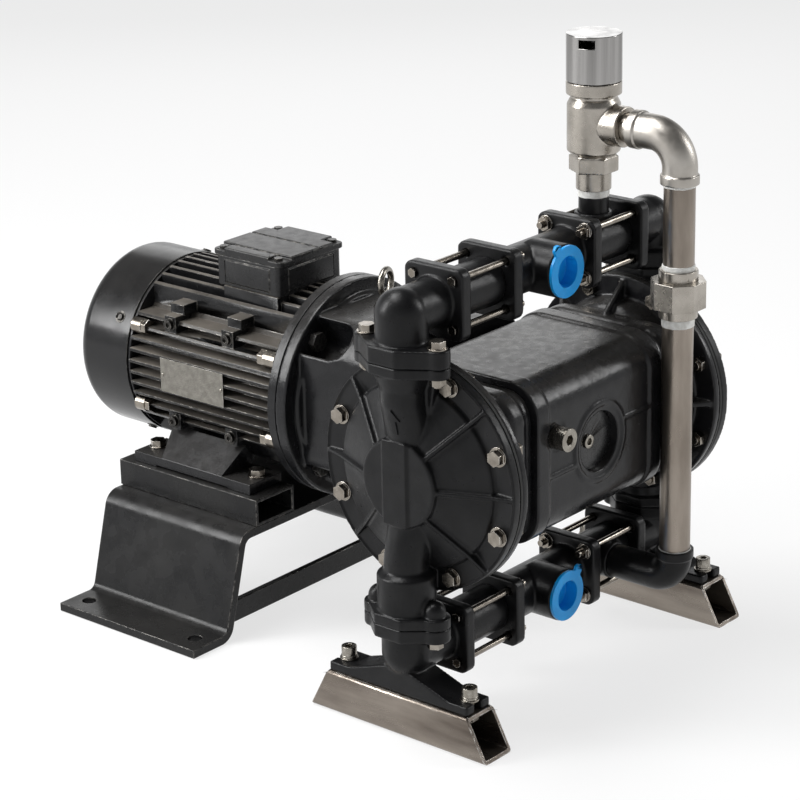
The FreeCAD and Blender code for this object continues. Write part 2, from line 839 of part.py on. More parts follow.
def leaning_round(name, low, high):
    """Skewed cone between two level circles, each given as x, height and radius."""
    circles = []
    for x, z, radius in (low, high):
        circle = add("Part::Circle", name + "_circle")
        bind(circle, Radius=radius)
        circles.append(place(circle, (x, 0, z)))
    item = add("Part::Loft", name)
    item.Sections = circles
    item.Solid = True
    item.Ruled = True
    return item


def chamber_cover():
    """Outer half of a pumping chamber with its two ball-check necks."""
    z = v.crank_height
    front = v.rim_front
    back = v.rim_back
    lip = v.rim_lip
    dome = revolve("dome", [(0, back), (v.rim_r, back), (v.rim_r, front + lip),
                            (v.rim_r - 1.2, front + lip), (v.rim_r - 1.5, front),
                            (v.dome_r + 1, front), (v.dome_r, front + 4),
                            (v.dome_r - 3, front + 5), (v.disc_r, v.disc_out - v.dome_drop),
                            (v.disc_r, v.disc_out - 1), (v.disc_r - 1, v.disc_out),
                            (0, v.disc_out)],
                   (0, 0, z), "-X")
    rib_points = [(0, back), (v.rim_r - 2, back), (v.rim_r - 2, front + lip), (v.dome_r, front + 8),
                  (v.disc_r, v.disc_out - 2), (0, v.disc_out - 2)]
    ribs = []
    for side in (-1, 1):
        for angle in (0, 45, 135):
            rib = add("Part::Extrusion", "rib")
            rib.Base = outline("rib_outline", [(side * a, -b) for a, b in rib_points],
                               turn=Rotation(Vector(0, 1, 0), Vector(1, 0, 0), Vector(0, 0, -1),
                                             "ZXY"))
            rib.DirMode = "Custom"
            rib.Dir = Vector(0, 0, 1)
            rib.Solid = True
            rib.Symmetric = True
            bind(rib, LengthFwd=v.rib_thick)
            ribs.append(place(rib, (0, 0, z), Rotation(Vector(1, 0, 0), angle)))
    band = block("disc_band", (-v.disc_out - v.band_proud, v.band_back - v.band_wide / 2,
                               z - v.disc_r + 1),
                 (-v.disc_out + 2, v.band_back + v.band_wide / 2, z + v.disc_r - 1))
    upper_low = upper_seam - v.oval_neck_thick
    root_x = v.neck_root_r - v.disc_out - 1
    necks = []
    for up, end in ((1, upper_seam), (-1, lower_seam)):
        root_z = z + up * (v.disc_r - 2)
        lean_z = root_z + up * v.neck_lean
        low, high = (lean_z, end) if up > 0 else (end, lean_z)
        necks.append(rod("neck", v.neck_r, high - low, (-v.neck_out, 0, low)))
        necks.append(leaning_round("neck_root", (root_x, root_z, v.neck_root_r),
                                   (-v.neck_out, lean_z, v.neck_r)))
    top = z + v.disc_r - 3
    web = extrude("neck_web", [(-v.neck_web_root, top), (v.neck_web_root, top),
                               (v.neck_web_top, upper_low), (-v.neck_web_top, upper_low)],
                  v.neck_web_out - back, (-v.neck_web_out, 0, 0), "X")
    flare_tall = 16.0
    flare = taper("neck_flare", v.neck_r, v.collar_r, flare_tall,
                  (-v.neck_out, 0, upper_low - flare_tall))
    collar = rod("collar", v.collar_r, v.collar_tall, (-v.neck_out, 0, lower_seam))
    collar_top = taper("collar_top", v.collar_r, v.neck_r - 1, 5.0,
                       (-v.neck_out, 0, lower_seam + v.collar_tall))
    flange_up = oval_plate("upper_oval", upper_low, v.oval_neck_thick, v.oval_bolt_out,
                           v.oval_end_r)
    flange_down = oval_plate("lower_oval", lower_seam, v.oval_neck_thick, v.low_bolt_out,
                             v.low_end_r)
    lugs = []
    for side in (-1, 1):
        spot = (-v.neck_out, side * v.low_bolt_out)
        straight = v.lug_boss_tall - v.lug_boss_r
        lugs.append(rod("lower_lug", v.lug_boss_r, straight, (*spot, lower_seam)))
        lugs.append(ball("lower_lug_top", v.lug_boss_r, (*spot, lower_seam + straight)))
    shell = fuse("cover_solid", dome, *ribs, band, *necks, web, flare, collar, collar_top,
                 flange_up, flange_down, *lugs)
    wall = v.dome_wall
    hollow = revolve("cover_hollow",
                     [(0, back - 1), (v.dome_r, back - 1), (v.dome_r, back + 1),
                      (v.dome_r - wall, front),
                      (v.disc_r - 2, v.disc_out - v.dome_drop - wall),
                      (0, v.disc_out - v.dome_drop - wall)], (0, 0, z), "-X")
    bore_r = v.seat_bore_r
    ceiling = lower_seam + v.seat_tall + ball_rest + v.ball_lift + v.ball_r + v.loose_gap
    channel_x = v.channel_in - v.neck_out
    bores = [
        block("behind_rim", (-back, -v.rim_r * 2, z - v.rim_r * 2), (-1, v.rim_r * 2,
                                                                    z + v.rim_r * 2)),
        rod("upper_channel", bore_r, upper_seat_z - z - v.channel_in, (channel_x, 0, z)),
        rod("upper_throat", bore_r, upper_seat_z - z - v.disc_r - 10,
            (-v.neck_out, 0, z + v.disc_r + 10)),
        rod("upper_cage", v.cage_r, upper_seam - upper_seat_z + 1, (-v.neck_out, 0, upper_seat_z)),
        rod("lower_cage", v.cage_r, ceiling - lower_seam + 1, (-v.neck_out, 0, lower_seam - 1)),
        rod("lower_throat", bore_r, z - v.disc_r - 10 - ceiling, (-v.neck_out, 0, ceiling)),
        rod("lower_channel", bore_r, z - ceiling - v.channel_in,
            (channel_x, 0, ceiling + v.channel_in)),
        *oval_holes("upper_oval_hole", upper_low, v.oval_neck_thick, v.oval_bolt_out),
        *[rod("lower_oval_hole", v.motor_bolt_r, v.low_grip + 1,
              (-v.neck_out, side * v.low_bolt_out, lower_seam - 1)) for side in (-1, 1)],
    ]
    for k in range(8):
        angle = math.radians(22.5 + 45 * k)
        bores.append(rod("rim_hole", v.motor_bolt_r + v.loose_gap, v.rim_front - v.rim_back + 4,
                         (-v.rim_front - 2, v.rim_bolt_circle * math.cos(angle),
                          z + v.rim_bolt_circle * math.sin(angle)), "X"))
    return cut("chamber_cover", shell, hollow, *bores)


def hex_bolts():
    """Rim bolts with their nuts and the oval flanges' bolts, of both chambers."""
    solids = []
    r = v.motor_bolt_r
    z = v.crank_height
    past = v.nut_tall + v.bolt_past
    reach = v.rim_front - v.rim_back + v.rubber_thick + v.inner_rim_thick

    def bored(nut, spot, axis):
        hole = rod("nut_bore", r, v.nut_tall + 2, spot, axis)
        return cut("nut_bored", nut, hole)

    for side, axis in ((-1, "-X"), (1, "X")):
        inner = side * (v.rim_front - reach)
        for k in range(8):
            angle = math.radians(22.5 + 45 * k)
            y = v.rim_bolt_circle * math.cos(angle)
            c = z + v.rim_bolt_circle * math.sin(angle)
            shank = rod("rim_shank", r, reach + past, (inner - side * past, y, c), axis)
            washer = rod("rim_washer", v.washer_r, v.washer_thick, (side * v.rim_front, y, c), axis)
            head = prism("rim_head", 6, v.head_r, v.head_tall,
                         (side * (v.rim_front + v.washer_thick), y, c), axis)
            solids.append(fuse("rim_bolt", shank, washer, head))
            nut = prism("rim_nut", 6, v.head_r, v.nut_tall, (inner - side * v.nut_tall, y, c), axis)
            solids.append(bored(nut, (inner - side * (v.nut_tall + 1), y, c), axis))
        for end in (-1, 1):
            spot = (side * v.neck_out, end * v.oval_bolt_out)
            low = upper_seam - v.oval_neck_thick
            top = upper_seam + v.oval_elbow_thick
            shank = rod("upper_shank", r, top - low + past, (*spot, low - past))
            washer = rod("upper_washer", v.washer_r, v.washer_thick, (*spot, top))
            head = prism("upper_head", 6, v.head_r, v.head_tall, (*spot, top + v.washer_thick))
            solids.append(fuse("upper_bolt", shank, washer, head))
            nut = prism("upper_nut", 6, v.head_r, v.nut_tall, (*spot, low - v.nut_tall))
            solids.append(bored(nut, (*spot, low - v.nut_tall - 1), "Z"))
            spot = (side * v.neck_out, end * v.low_bolt_out)
            bottom = lower_seam - v.oval_low_thick
            shank = rod("lower_shank", r, v.oval_low_thick + v.low_grip - 1, (*spot, bottom))
            washer = rod("lower_washer", v.low_washer_r, v.washer_thick, (*spot, bottom), "-Z")
            head = prism("lower_head", 6, v.head_r, v.head_tall,
                         (*spot, bottom - v.washer_thick), "-Z")
            solids.append(fuse("lower_bolt", shank, washer, head))
    return solids


def inner_chamber():
    """Dish between the crank case and the diaphragm: waist, shoulder, bell and gussets."""
    z = v.crank_height
    back = v.rim_back - v.rubber_thick
    rim_behind = back - v.inner_rim_thick
    hub_r = v.rod_r + v.bush_wall
    waist_end = v.case_half_long + v.groove_long
    bell = revolve("bell", [(hub_r, v.bell_back), (v.bell_r - 8, v.bell_back),
                            (v.bell_r, v.bell_back + 5), (v.bell_r + 3, rim_behind),
                            (v.rim_r, rim_behind), (v.rim_r, back), (v.dome_r, back),
                            (v.plate_r + 4, v.hub_face), (hub_r, v.hub_face)],
                   (0, 0, z), "-X")
    deep = v.groove_deep
    waist = rounded_bar("waist", v.case_half_deep - deep, z - v.case_down + deep,
                        z + v.case_up - deep, v.case_round - deep, -waist_end,
                        v.groove_long, "X")
    low = v.shoulder_low
    shoulder = rounded_bar("shoulder", v.case_half_deep - low, z - v.case_down + low,
                           z + v.case_up - low, v.case_round - low, -v.shoulder_end,
                           v.shoulder_end - waist_end, "X")

    def shoulder_edge(edge):
        ends = (-float(v.shoulder_end), -float(waist_end))
        return any(abs(edge.CenterOfMass.x - x) < 0.01 for x in ends)

    shoulder = rounds("shoulder_rounded", shoulder, v.shoulder_round, shoulder_edge)
    gussets = []
    rib_points = [(v.gusset_in, v.gusset_start), (v.gusset_top, v.gusset_start),
                  (v.rim_r - v.gusset_gap, rim_behind + 1), (v.gusset_in, rim_behind + 1)]
    for k in range(8):
        gusset = add("Part::Extrusion", "gusset")
        gusset.Base = outline("gusset_outline", [(a, -b) for a, b in rib_points],
                              turn=Rotation(Vector(0, 1, 0), Vector(1, 0, 0), Vector(0, 0, -1),
                                            "ZXY"))
        gusset.DirMode = "Custom"
        gusset.Dir = Vector(0, 0, 1)
        gusset.Solid = True
        gusset.Symmetric = True
        bind(gusset, LengthFwd=v.gusset_thick)
        gussets.append(place(gusset, (0, 0, z), Rotation(Vector(1, 0, 0), 45 * k)))
    dish = revolve("dish_hollow", [(0, back + 1), (v.dome_r, back + 1), (v.dome_r, back),
                                   (v.plate_r + 4, v.hub_face), (0, v.hub_face)],
                   (0, 0, z), "-X")
    holes = [dish, rod("hub_bore", hub_r, v.hub_face, (-v.hub_face - 1, 0, z), "X")]
    for k in range(8):
        angle = math.radians(22.5 + 45 * k)
        holes.append(rod("inner_rim_hole", v.motor_bolt_r, v.inner_rim_thick + 2,
                         (-back - 1, v.rim_bolt_circle * math.cos(angle),
                          z + v.rim_bolt_circle * math.sin(angle)), "X"))
    return cut("inner_chamber", fuse("inner_solid", bell, waist, shoulder, *gussets), *holes)


def diaphragm():
    """Rubber disc clamped at its rim and between the two plates."""
    z = v.crank_height
    x = -v.rim_back
    disc = rod("rubber", v.rim_r, v.rubber_thick, (x, 0, z), "X")
    holes = [rod("rubber_centre", v.rod_end_r, v.rubber_thick + 2, (x - 1, 0, z), "X")]
    for k in range(8):
        angle = math.radians(22.5 + 45 * k)
        holes.append(rod("rubber_hole", v.motor_bolt_r + v.loose_gap, v.rubber_thick + 2,
                         (x - 1, v.rim_bolt_circle * math.cos(angle),
                          z + v.rim_bolt_circle * math.sin(angle)), "X"))
    return cut("diaphragm", disc, *holes)


def diaphragm_plates():
    """Inner and domed outer clamp plate of the near diaphragm."""
    z = v.crank_height
    inner_face = v.rim_back - v.rubber_thick
    edge = 2.0
    outer = revolve("outer_plate", [(v.rod_end_r, v.rim_back), (v.plate_r, v.rim_back),
                                    (v.plate_r, v.rim_back + edge),
                                    (v.plate_r * 0.6, v.rim_back + v.plate_thick),
                                    (v.rod_end_r, v.rim_back + v.plate_thick)],
                    (0, 0, z), "-X")
    inner = revolve("inner_plate", [(v.rod_end_r, inner_face), (v.plate_r, inner_face),
                                    (v.plate_r, inner_face - edge),
                                    (v.plate_r * 0.6, inner_face - v.plate_thick),
                                    (v.rod_end_r, inner_face - v.plate_thick)],
                    (0, 0, z), "-X")
    return [outer, inner]


def yoke_rod():
    """Slotted yoke that the crank's roller drives, with the rod of each diaphragm."""
    z = v.crank_height
    reach = v.stroke_half * 2 + v.yoke_slot_gap
    slot_x = v.cam_r + v.roller_wall + reach
    slot_z = v.cam_r + v.roller_wall + v.stroke_half + v.yoke_slot_gap * 4
    half_x = slot_x + v.yoke_wall
    half_z = slot_z + v.yoke_wall
    half_y = v.yoke_thick / 2
    plate = block("yoke_plate", (-half_x, -half_y, z - half_z), (half_x, half_y, z + half_z))
    slot = block("yoke_slot", (-slot_x, -half_y - 1, z - slot_z), (slot_x, half_y + 1, z + slot_z))
    shoulder = v.rim_back - v.rubber_thick - v.plate_thick
    end = v.rim_back + v.plate_thick + v.rod_nut_tall
    rods = []
    for side, axis in ((-1, "-X"), (1, "X")):
        start = side * (half_x - 1)
        rods.append(rod("yoke_bar", v.rod_r, shoulder - half_x + 1, (start, 0, z), axis))
        rods.append(rod("yoke_bar_end", v.rod_end_r, end - half_x + 1, (start, 0, z), axis))
        rods.append(prism("rod_nut", 6, v.rod_end_r * 1.9, v.rod_nut_tall,
                          (side * (v.rim_back + v.plate_thick), 0, z), axis))
    return fuse("yoke_with_rods", cut("yoke", plate, slot), *rods)


def rod_bush(side, axis):
    """Plain bush that guides one rod."""
    z = v.crank_height
    start = side * (v.case_half_long - v.case_wall)
    length = v.hub_face - v.case_half_long + v.case_wall
    tube = rod("bush", v.rod_r + v.bush_wall, length, (start, 0, z), axis)
    return cut("rod_bush", tube, rod("bush_bore", v.rod_r + v.running_gap, length + 2,
                                     (start - side, 0, z), axis))


def crank_case():
    """Cast case with round long edges, a raised band at each end and the bearing window."""
    z = v.crank_height
    half = v.case_half_long
    deep = v.case_half_deep
    low = z - v.case_down
    high = z + v.case_up
    wall = v.case_wall
    proud = v.case_band_proud
    r = v.case_round
    ring_face = case_front + v.window_ring_proud

    body = rounded_bar("case_body", case_front, low + proud, high - proud, r - proud,
                       -half, half * 2, "X")
    bands = [rounded_bar("case_end_band", deep, low, high, r, start, v.case_band, "X")
             for start in (-half, half - v.case_band)]
    inside = rounded_bar("case_inside", deep - wall, low + wall, high - wall, r - wall,
                         wall - half, half * 2 - wall * 2, "X")
    raised = cut("window_ring",
                 rod("window_ring_round", v.window_ring_r, v.window_ring_proud + 1,
                     (0, -ring_face, z), "Y"),
                 rod("window_ring_field", v.window_ring_in, v.window_ring_proud + 3,
                     (0, -ring_face - 1, z), "Y"))
    carrier = rod("bearing_boss", v.carrier_r, v.window_deep + v.crank_bearing_wide,
                  (0, -case_front, z), "Y")
    far_rib = block("far_rib", (v.window_ring_r - 2, -ring_face, z + v.far_rib_up),
                    (half - v.case_band + 1, -case_front + 1,
                     z + v.far_rib_up + v.wall_rib_tall))
    near_rib = block("near_rib", (-half + v.case_band - 1, -ring_face,
                                  z - v.near_rib_down - v.wall_rib_tall),
                     (2 - v.window_ring_r, -case_front + 1, z - v.near_rib_down))
    plug = (-v.plug_out, z + v.plug_up)
    plug_seat = rod("plug_seat", v.plug_recess_r, wall - proud, (plug[0], -case_front, plug[1]),
                    "Y")
    floor = v.window_deep - case_front
    tools = [
        rod("window", v.window_r, v.window_deep + 3, (0, -case_front - 3, z), "Y"),
        rod("front_bearing_seat", v.crank_bearing_r, v.crank_bearing_wide + 2, (0, floor - 1, z),
            "Y"),
        rod("front_shaft_hole", v.crank_r + 1.5, deep, (0, -deep - 1, z), "Y"),
        rod("spigot_hole", v.gear_spigot_r, wall + 4, (0, deep - wall - 2, z), "Y"),
        rod("plug_recess", v.plug_recess_r, proud + 1 + v.plug_recess_deep,
            (plug[0], -deep - 1, plug[1]), "Y"),
        rod("plug_hole", v.plug_r, wall + 4, (plug[0], -deep - 1, plug[1]), "Y"),
    ]
    tools += [rod("rod_hole", v.rod_r + v.bush_wall, wall + 4, (start, 0, z), "X")
              for start in (-half - 2, half - wall - 2)]
    hollow = cut("case_shell", fuse("case_solid", body, *bands), inside)
    return cut("crank_case", fuse("case_with_bosses", hollow, raised, carrier, plug_seat,
                                  far_rib, near_rib), *tools)


def case_plugs():
    """Filler plug in the front wall and the closing disc with its screw in the window."""
    z = v.crank_height
    seat = v.plug_recess_deep - case_front
    spot = (-v.plug_out, seat, z + v.plug_up)
    shank = rod("plug_shank", v.plug_r, v.case_wall - v.case_band_proud - v.plug_recess_deep,
                spot, "Y")
    head = rod("plug_head", v.plug_head_r, v.plug_head_tall, spot, "-Y")
    socket = prism("plug_socket", 6, v.plug_r * 0.55, v.plug_head_tall / 2 + 1,
                   (-v.plug_out, seat - v.plug_head_tall - 1, z + v.plug_up), "Y")
    filler = cut("filler_plug", fuse("filler_plug_solid", shank, head), socket)
    floor = v.window_deep - case_front
    face = floor - v.window_disc_thick
    disc = rod("window_disc", v.window_r - v.loose_gap, v.window_disc_thick, (0, floor, z), "-Y")
    spot = (-v.window_screw_out, face, z + v.window_screw_up)
    knob = rod("window_screw", v.window_screw_r, v.window_screw_tall, spot, "-Y")
    knob_socket = prism("window_screw_socket", 6, v.window_screw_r * 0.55, v.window_screw_tall,
                        (-v.window_screw_out, face - v.window_screw_tall - 1,
                         z + v.window_screw_up), "Y")
    return [filler, cut("window_cover", fuse("window_cover_solid", disc, knob), knob_socket)]


def valve_seat(z):
    """Ring that the ball closes on."""
    ring_solid = rod("seat", v.cage_r, v.seat_tall, (-v.neck_out, 0, z))
    return cut("valve_seat", ring_solid,
               rod("seat_bore", v.seat_bore_r, v.seat_tall + 2, (-v.neck_out, 0, z - 1)))


def valve_ball(side, seat):
    """Check ball resting on its seat."""
    return ball("valve_ball", v.ball_r, (side * v.neck_out, 0, seat + v.seat_tall + ball_rest))


def crank_shaft():
    """Slow shaft with the round cam that drives the yoke."""
    z = v.crank_height
    shaft = rod("crank_bar", v.crank_r, v.crank_back + v.crank_front, (0, -v.crank_front, z), "Y")
    cam = rod("cam", v.cam_r, v.cam_wide, (0, -v.cam_wide / 2, z + v.stroke_half), "Y")
    return fuse("crank", shaft, cam)


def crank_roller():
    """Ring that runs on the cam inside the yoke's slot."""
    z = v.crank_height + v.stroke_half
    half = v.cam_wide / 2 - v.running_gap * 4
    body = rod("roller", v.cam_r + v.roller_wall, half * 2, (0, -half, z), "Y")
    return cut("crank_roller", body,
               rod("roller_bore", v.cam_r + v.running_gap, half * 2 + 2, (0, -half - 1, z), "Y"))


def gear_blank(name, teeth, start, wide, z, tooth_up):
    """Involute spur gear round an axis along Y. A tooth or a gap stands straight up."""
    count = int(teeth.number)
    module = float(v.module)
    pressure = math.radians(25)
    pitch_r = module * count / 2
    base_r = pitch_r * math.cos(pressure)
    tip_r = pitch_r + 0.8 * module
    root_r = pitch_r - module
    half_pitch = math.pi / 2 / count - float(v.backlash) / 4 / pitch_r

    def half_tooth(radius):
        slope = math.acos(min(1.0, base_r / radius))
        return half_pitch + (math.tan(pressure) - pressure) - (math.tan(slope) - slope)

    turn = 0.0 if tooth_up else math.pi / count
    points = []
    for k in range(count):
        middle = turn + 2 * math.pi * k / count
        for radius, side in ((root_r, -1), (pitch_r, -1), (tip_r, -1),
                             (tip_r, 1), (pitch_r, 1), (root_r, 1)):
            angle = middle + side * half_tooth(radius)
            points.append(Vector(radius * math.sin(angle), 0, radius * math.cos(angle)))
    item = add("Part::Feature", name)
    face = Part.Face(Part.makePolygon(points + points[:1]))
    item.Shape = face.extrude(Vector(0, float(wide), 0))
    return place(item, (0, start, z))


def output_gear():
    """Gear on the crank shaft."""
    z = v.crank_height
    blank = gear_blank("output_blank", v.output_teeth, v.output_start, v.output_wide, z, False)
    return cut("output_gear", blank,
               rod("output_bore", v.crank_r, v.output_wide + 2, (0, v.output_start - 1, z), "Y"))


def counter_gear():
    """Countershaft with the large first gear and the small second pinion."""
    z = counter_height
    first = gear_blank("first_gear", v.counter_teeth, v.first_start, v.first_wide, z, True)
    # A tooth of the small pinion points straight down at the output gear.
    second = gear_blank("second_pinion", v.second_teeth, v.output_start - v.mesh_over,
                        v.output_wide + v.mesh_over * 2, z, False)
    start = v.gear_wall_back - v.counter_bearing_wide
    shaft = rod("counter_shaft", v.counter_journal_r,
                v.gear_face + v.counter_bearing_wide - start, (0, start, z), "Y")
    return fuse("counter_gear", shaft, first, second)


def rotor_shaft():
    """Motor shaft with its pinion cut at the front end and the fan's tail behind."""
    z = v.motor_height
    pinion = gear_blank("motor_pinion", v.motor_teeth, v.first_start - v.mesh_over,
                        v.first_wide + v.mesh_over * 2, z, True)
    start = v.first_start - v.mesh_over
    front = v.gear_face + v.front_bearing_in
    rear = frame_end - v.rear_bearing_in
    fan_end = frame_end + v.fan_back + v.fan_wide
    steps = [(v.pinion_shaft_r, start, front), (v.journal_r, front, front + v.motor_bearing_wide),
             (v.shaft_r, front + v.motor_bearing_wide, rear),
             (v.journal_r, rear, rear + v.motor_bearing_wide),
             (v.tail_r, rear + v.motor_bearing_wide, fan_end - v.fan_tail_short)]
    bars = [rod("rotor_step", radius, high - low, (0, low, z), "Y") for radius, low, high in steps]
    return fuse("rotor_shaft", pinion, *bars)


def rotor_core():
    """Laminated rotor pressed on the shaft."""
    z = v.motor_height
    start = core_middle - v.core_long / 2
    body = rod("rotor_stack", v.core_r, v.core_long, (0, start, z), "Y")
    return cut("rotor_core", body, rod("rotor_stack_bore", v.shaft_r, v.core_long + 2,
                                       (0, start - 1, z), "Y"))


def stator_core():
    """Stator stack with the winding heads at both ends."""
    z = v.motor_height
    start = core_middle - v.core_long / 2
    stack = rod("stator_stack", v.frame_bore_r, v.core_long, (0, start, z), "Y")
    heads = rod("winding_heads", v.frame_bore_r - v.winding_in, v.core_long + v.winding_out * 2,
                (0, start - v.winding_out, z), "Y")
    return cut("stator_core", fuse("stator_solid", stack, heads),
               rod("stator_bore", v.core_r + v.air_gap, v.core_long + v.winding_out * 2 + 2,
                   (0, start - v.winding_out - 1, z), "Y"))


def fan():
    """Cooling fan: hub, back disc and straight blades."""
    z = v.motor_height
    start = frame_end + v.fan_back
    hub = rod("fan_hub", v.fan_hub_r, v.fan_wide, (0, start, z), "Y")
    disc = rod("fan_disc", v.fan_disc_r, v.fan_disc_thick, (0, start, z), "Y")
    blades = []
    for k in range(7):
        blade = block("fan_blade", (v.fan_hub_r - 1, 0, -v.fan_blade_thick / 2),
                      (v.fan_r, v.fan_wide, v.fan_blade_thick / 2))
        group = add("Part::Compound", "fan_blade_turned")
        group.Links = [blade]
        blades.append(place(group, (0, start, z), Rotation(Vector(0, 1, 0), 360 / 7 * k)))
    return cut("fan", fuse("fan_solid", hub, disc, *blades),
               rod("fan_bore", v.tail_r, v.fan_wide + 2, (0, start - 1, z), "Y"))


def bearing(outer, inner, wide, start, z):
    """Ring bearing round an axis along Y."""
    body = rod("bearing_ring", outer, wide, (0, start, z), "Y")
    return cut("bearing", body, rod("bearing_bore", inner + v.running_gap, wide + 2,
                                    (0, start - 1, z), "Y"))


def bearings():
    """Bearings of the crank, the countershaft and the rotor, two each."""
    window_floor = v.window_deep - case_front
    return [
        bearing(v.crank_bearing_r, v.crank_r, v.crank_bearing_wide, window_floor, v.crank_height),
        bearing(v.crank_bearing_r, v.crank_r, v.crank_bearing_wide, rear_crank_bearing,
                v.crank_height),
        bearing(v.counter_bearing_r, v.counter_journal_r, v.counter_bearing_wide,
                v.gear_wall_back - v.counter_bearing_wide, counter_height),
        bearing(v.counter_bearing_r, v.counter_journal_r, v.counter_bearing_wide, v.gear_face,
                counter_height),
        bearing(v.motor_bearing_r, v.journal_r, v.motor_bearing_wide,
                v.gear_face + v.front_bearing_in, v.motor_height),
        bearing(v.motor_bearing_r, v.journal_r, v.motor_bearing_wide,
                frame_end - v.rear_bearing_in, v.motor_height),
    ]


def flange_spots():
    """Places of the four flange bolts round the motor axis."""
    out = v.flange_circle / 2 * math.sqrt(0.5)
    return [(a * out, v.motor_height + b * out) for a, b in tie_spots]


def gear_housing():
    """Reducer housing between crank case and motor, scooped out at the four bolts."""
    z = v.crank_height
    start = v.case_half_deep
    back = v.gear_face - v.gear_flange_thick
    body = rounded_bar("gear_body", v.gear_half_wide, z - v.gear_down, z + v.gear_up,
                       v.gear_round, start, back - start, "Y")
    ring_solid = rod("gear_ring", v.gear_ring_r, v.gear_ring_thick,
                     (0, back - v.gear_ring_thick, v.motor_height), "Y")
    flange = rod("gear_flange", v.gear_flange_r, v.gear_flange_thick,
                 (0, back, v.motor_height), "Y")
    spigot = rod("gear_spigot", v.gear_spigot_r, v.spigot_long, (0, start - v.spigot_long, z), "Y")
    depth = v.gear_face - v.gear_wall_back
    cavity = [rod("gear_cavity", v.gear_cavity_r, depth + 1, (0, v.gear_wall_back, z), "Y"),
              rod("counter_cavity", v.counter_cavity_r, depth + 1,
                  (0, v.gear_wall_back, counter_height), "Y")]
    bores = [
        rod("rear_shaft_hole", v.crank_r + 1.5, v.gear_wall_back, (0, start - v.spigot_long - 1, z),
            "Y"),
        rod("rear_bearing_seat", v.crank_bearing_r, v.gear_wall_back - rear_crank_bearing + 1,
            (0, rear_crank_bearing, z), "Y"),
        rod("counter_seat", v.counter_bearing_r, v.counter_bearing_wide + 1,
            (0, v.gear_wall_back - v.counter_bearing_wide, counter_height), "Y"),
        rod("eye_hole", v.eye_shank_r, v.eye_shank_long, (0, v.eye_back,
                                                          z + v.gear_up - v.eye_shank_long)),
    ]
    for x, c in flange_spots():
        bores.append(rod("bolt_pocket", v.pocket_r, v.pocket_long,
                         (x, back - v.pocket_long, c), "Y"))
        bores.append(rod("flange_hole", v.flange_bolt_r + v.loose_gap, v.gear_flange_thick + 2,
                         (x, back - 1, c), "Y"))
    return cut("gear_housing", fuse("gear_solid", body, ring_solid, flange, spigot),
               *cavity, *bores)


def flange_bolts():
    """Four bolts with nuts that clamp the motor's flange to the reducer."""
    solids = []
    back = v.gear_face - v.gear_flange_thick
    front = v.gear_face + v.shield_thick
    for x, c in flange_spots():
        shank = rod("flange_shank", v.flange_bolt_r, front - back + v.flange_nut_tall,
                    (x, back, c), "Y")
        head = prism("flange_head", 6, v.flange_head_r, v.flange_bolt_head_tall, (x, back, c), "-Y")
        solids.append(fuse("flange_bolt", shank, head))
        nut = prism("flange_nut", 6, v.flange_head_r, v.flange_nut_tall - 0.5, (x, front, c), "Y")
        solids.append(cut("flange_nut_bored", nut,
                          rod("flange_nut_bore", v.flange_bolt_r, v.flange_nut_tall + 1,
                              (x, front - 0.5, c), "Y")))
    return solids


def eye_bolt():
    """Lifting eye in the top of the reducer."""
    top = v.crank_height + v.gear_up
    shank = rod("eye_shank", v.eye_shank_r, v.eye_shank_long + 1,
                (0, v.eye_back, top - v.eye_shank_long))
    collar = taper("eye_collar", v.eye_r, v.eye_wire_r + 2, v.eye_up - v.eye_r,
                   (0, v.eye_back, top))
    eye = ring("eye_ring", v.eye_r, v.eye_wire_r, (0, v.eye_back, top + v.eye_up), "Y")
    eye.Placement.Rotation = Rotation(Vector(0, 0, 1), v.eye_turn.number).multiply(TURNS["Y"])
    return fuse("eye_bolt", shank, collar, eye)


def front_shield():
    """Motor end shield whose flange faces the reducer."""
    z = v.motor_height
    start = v.gear_face
    flange = rod("shield_flange", v.gear_flange_r, v.shield_thick, (0, start, z), "Y")
    neck = rod("shield_neck", v.frame_r, v.shield_thick + v.shield_neck, (0, start, z), "Y")
    seat = rod("shield_seat", v.motor_bearing_r + v.bearing_boss_wall,
               v.front_bearing_in + v.motor_bearing_wide, (0, start, z), "Y")
    bearing_start = start + v.front_bearing_in
    bores = [
        rod("shield_bearing_bore", v.motor_bearing_r, v.motor_bearing_wide + 1,
            (0, bearing_start, z), "Y"),
        rod("shield_shaft_hole", v.journal_r + 1.5, v.front_bearing_in + 2, (0, start - 1, z), "Y"),
        rod("counter_pocket", v.counter_bearing_r, v.counter_bearing_wide + 1,
            (0, start - 1, counter_height), "Y"),
    ]
    bores += [rod("shield_hole", v.flange_bolt_r + v.loose_gap, v.shield_thick + 2,
                  (x, start - 1, c), "Y") for x, c in flange_spots()]
    return cut("front_shield", fuse("shield_solid", flange, neck, seat), *bores)


def rear_shield():
    """Motor end shield that also holds the fan cover."""
    z = v.motor_height
    disc = rod("rear_disc", v.cover_r - v.cover_wall, v.rear_shield_thick, (0, frame_end, z), "Y")
    start = frame_end - v.rear_bearing_in
    boss = rod("rear_boss", v.motor_bearing_r + v.bearing_boss_wall,
               v.rear_bearing_in + v.rear_shield_thick, (0, start, z), "Y")
    return cut("rear_shield", fuse("rear_solid", disc, boss),
               rod("rear_bearing_bore", v.motor_bearing_r, v.motor_bearing_wide + 1,
                   (0, start - 1, z), "Y"),
               rod("rear_shaft_hole", v.journal_r + 1.5, v.rear_bearing_in * 4, (0, start, z), "Y"))


def lug_places():
    """Middle of each mounting lug on the motor frame."""
    middle = v.gear_face + v.lug_middle
    return [(a, middle + b * v.lug_gap / 2, v.motor_height + c * v.lug_up)
            for a in (-1, 1) for b in (-1, 1) for c in (-1, 1)]


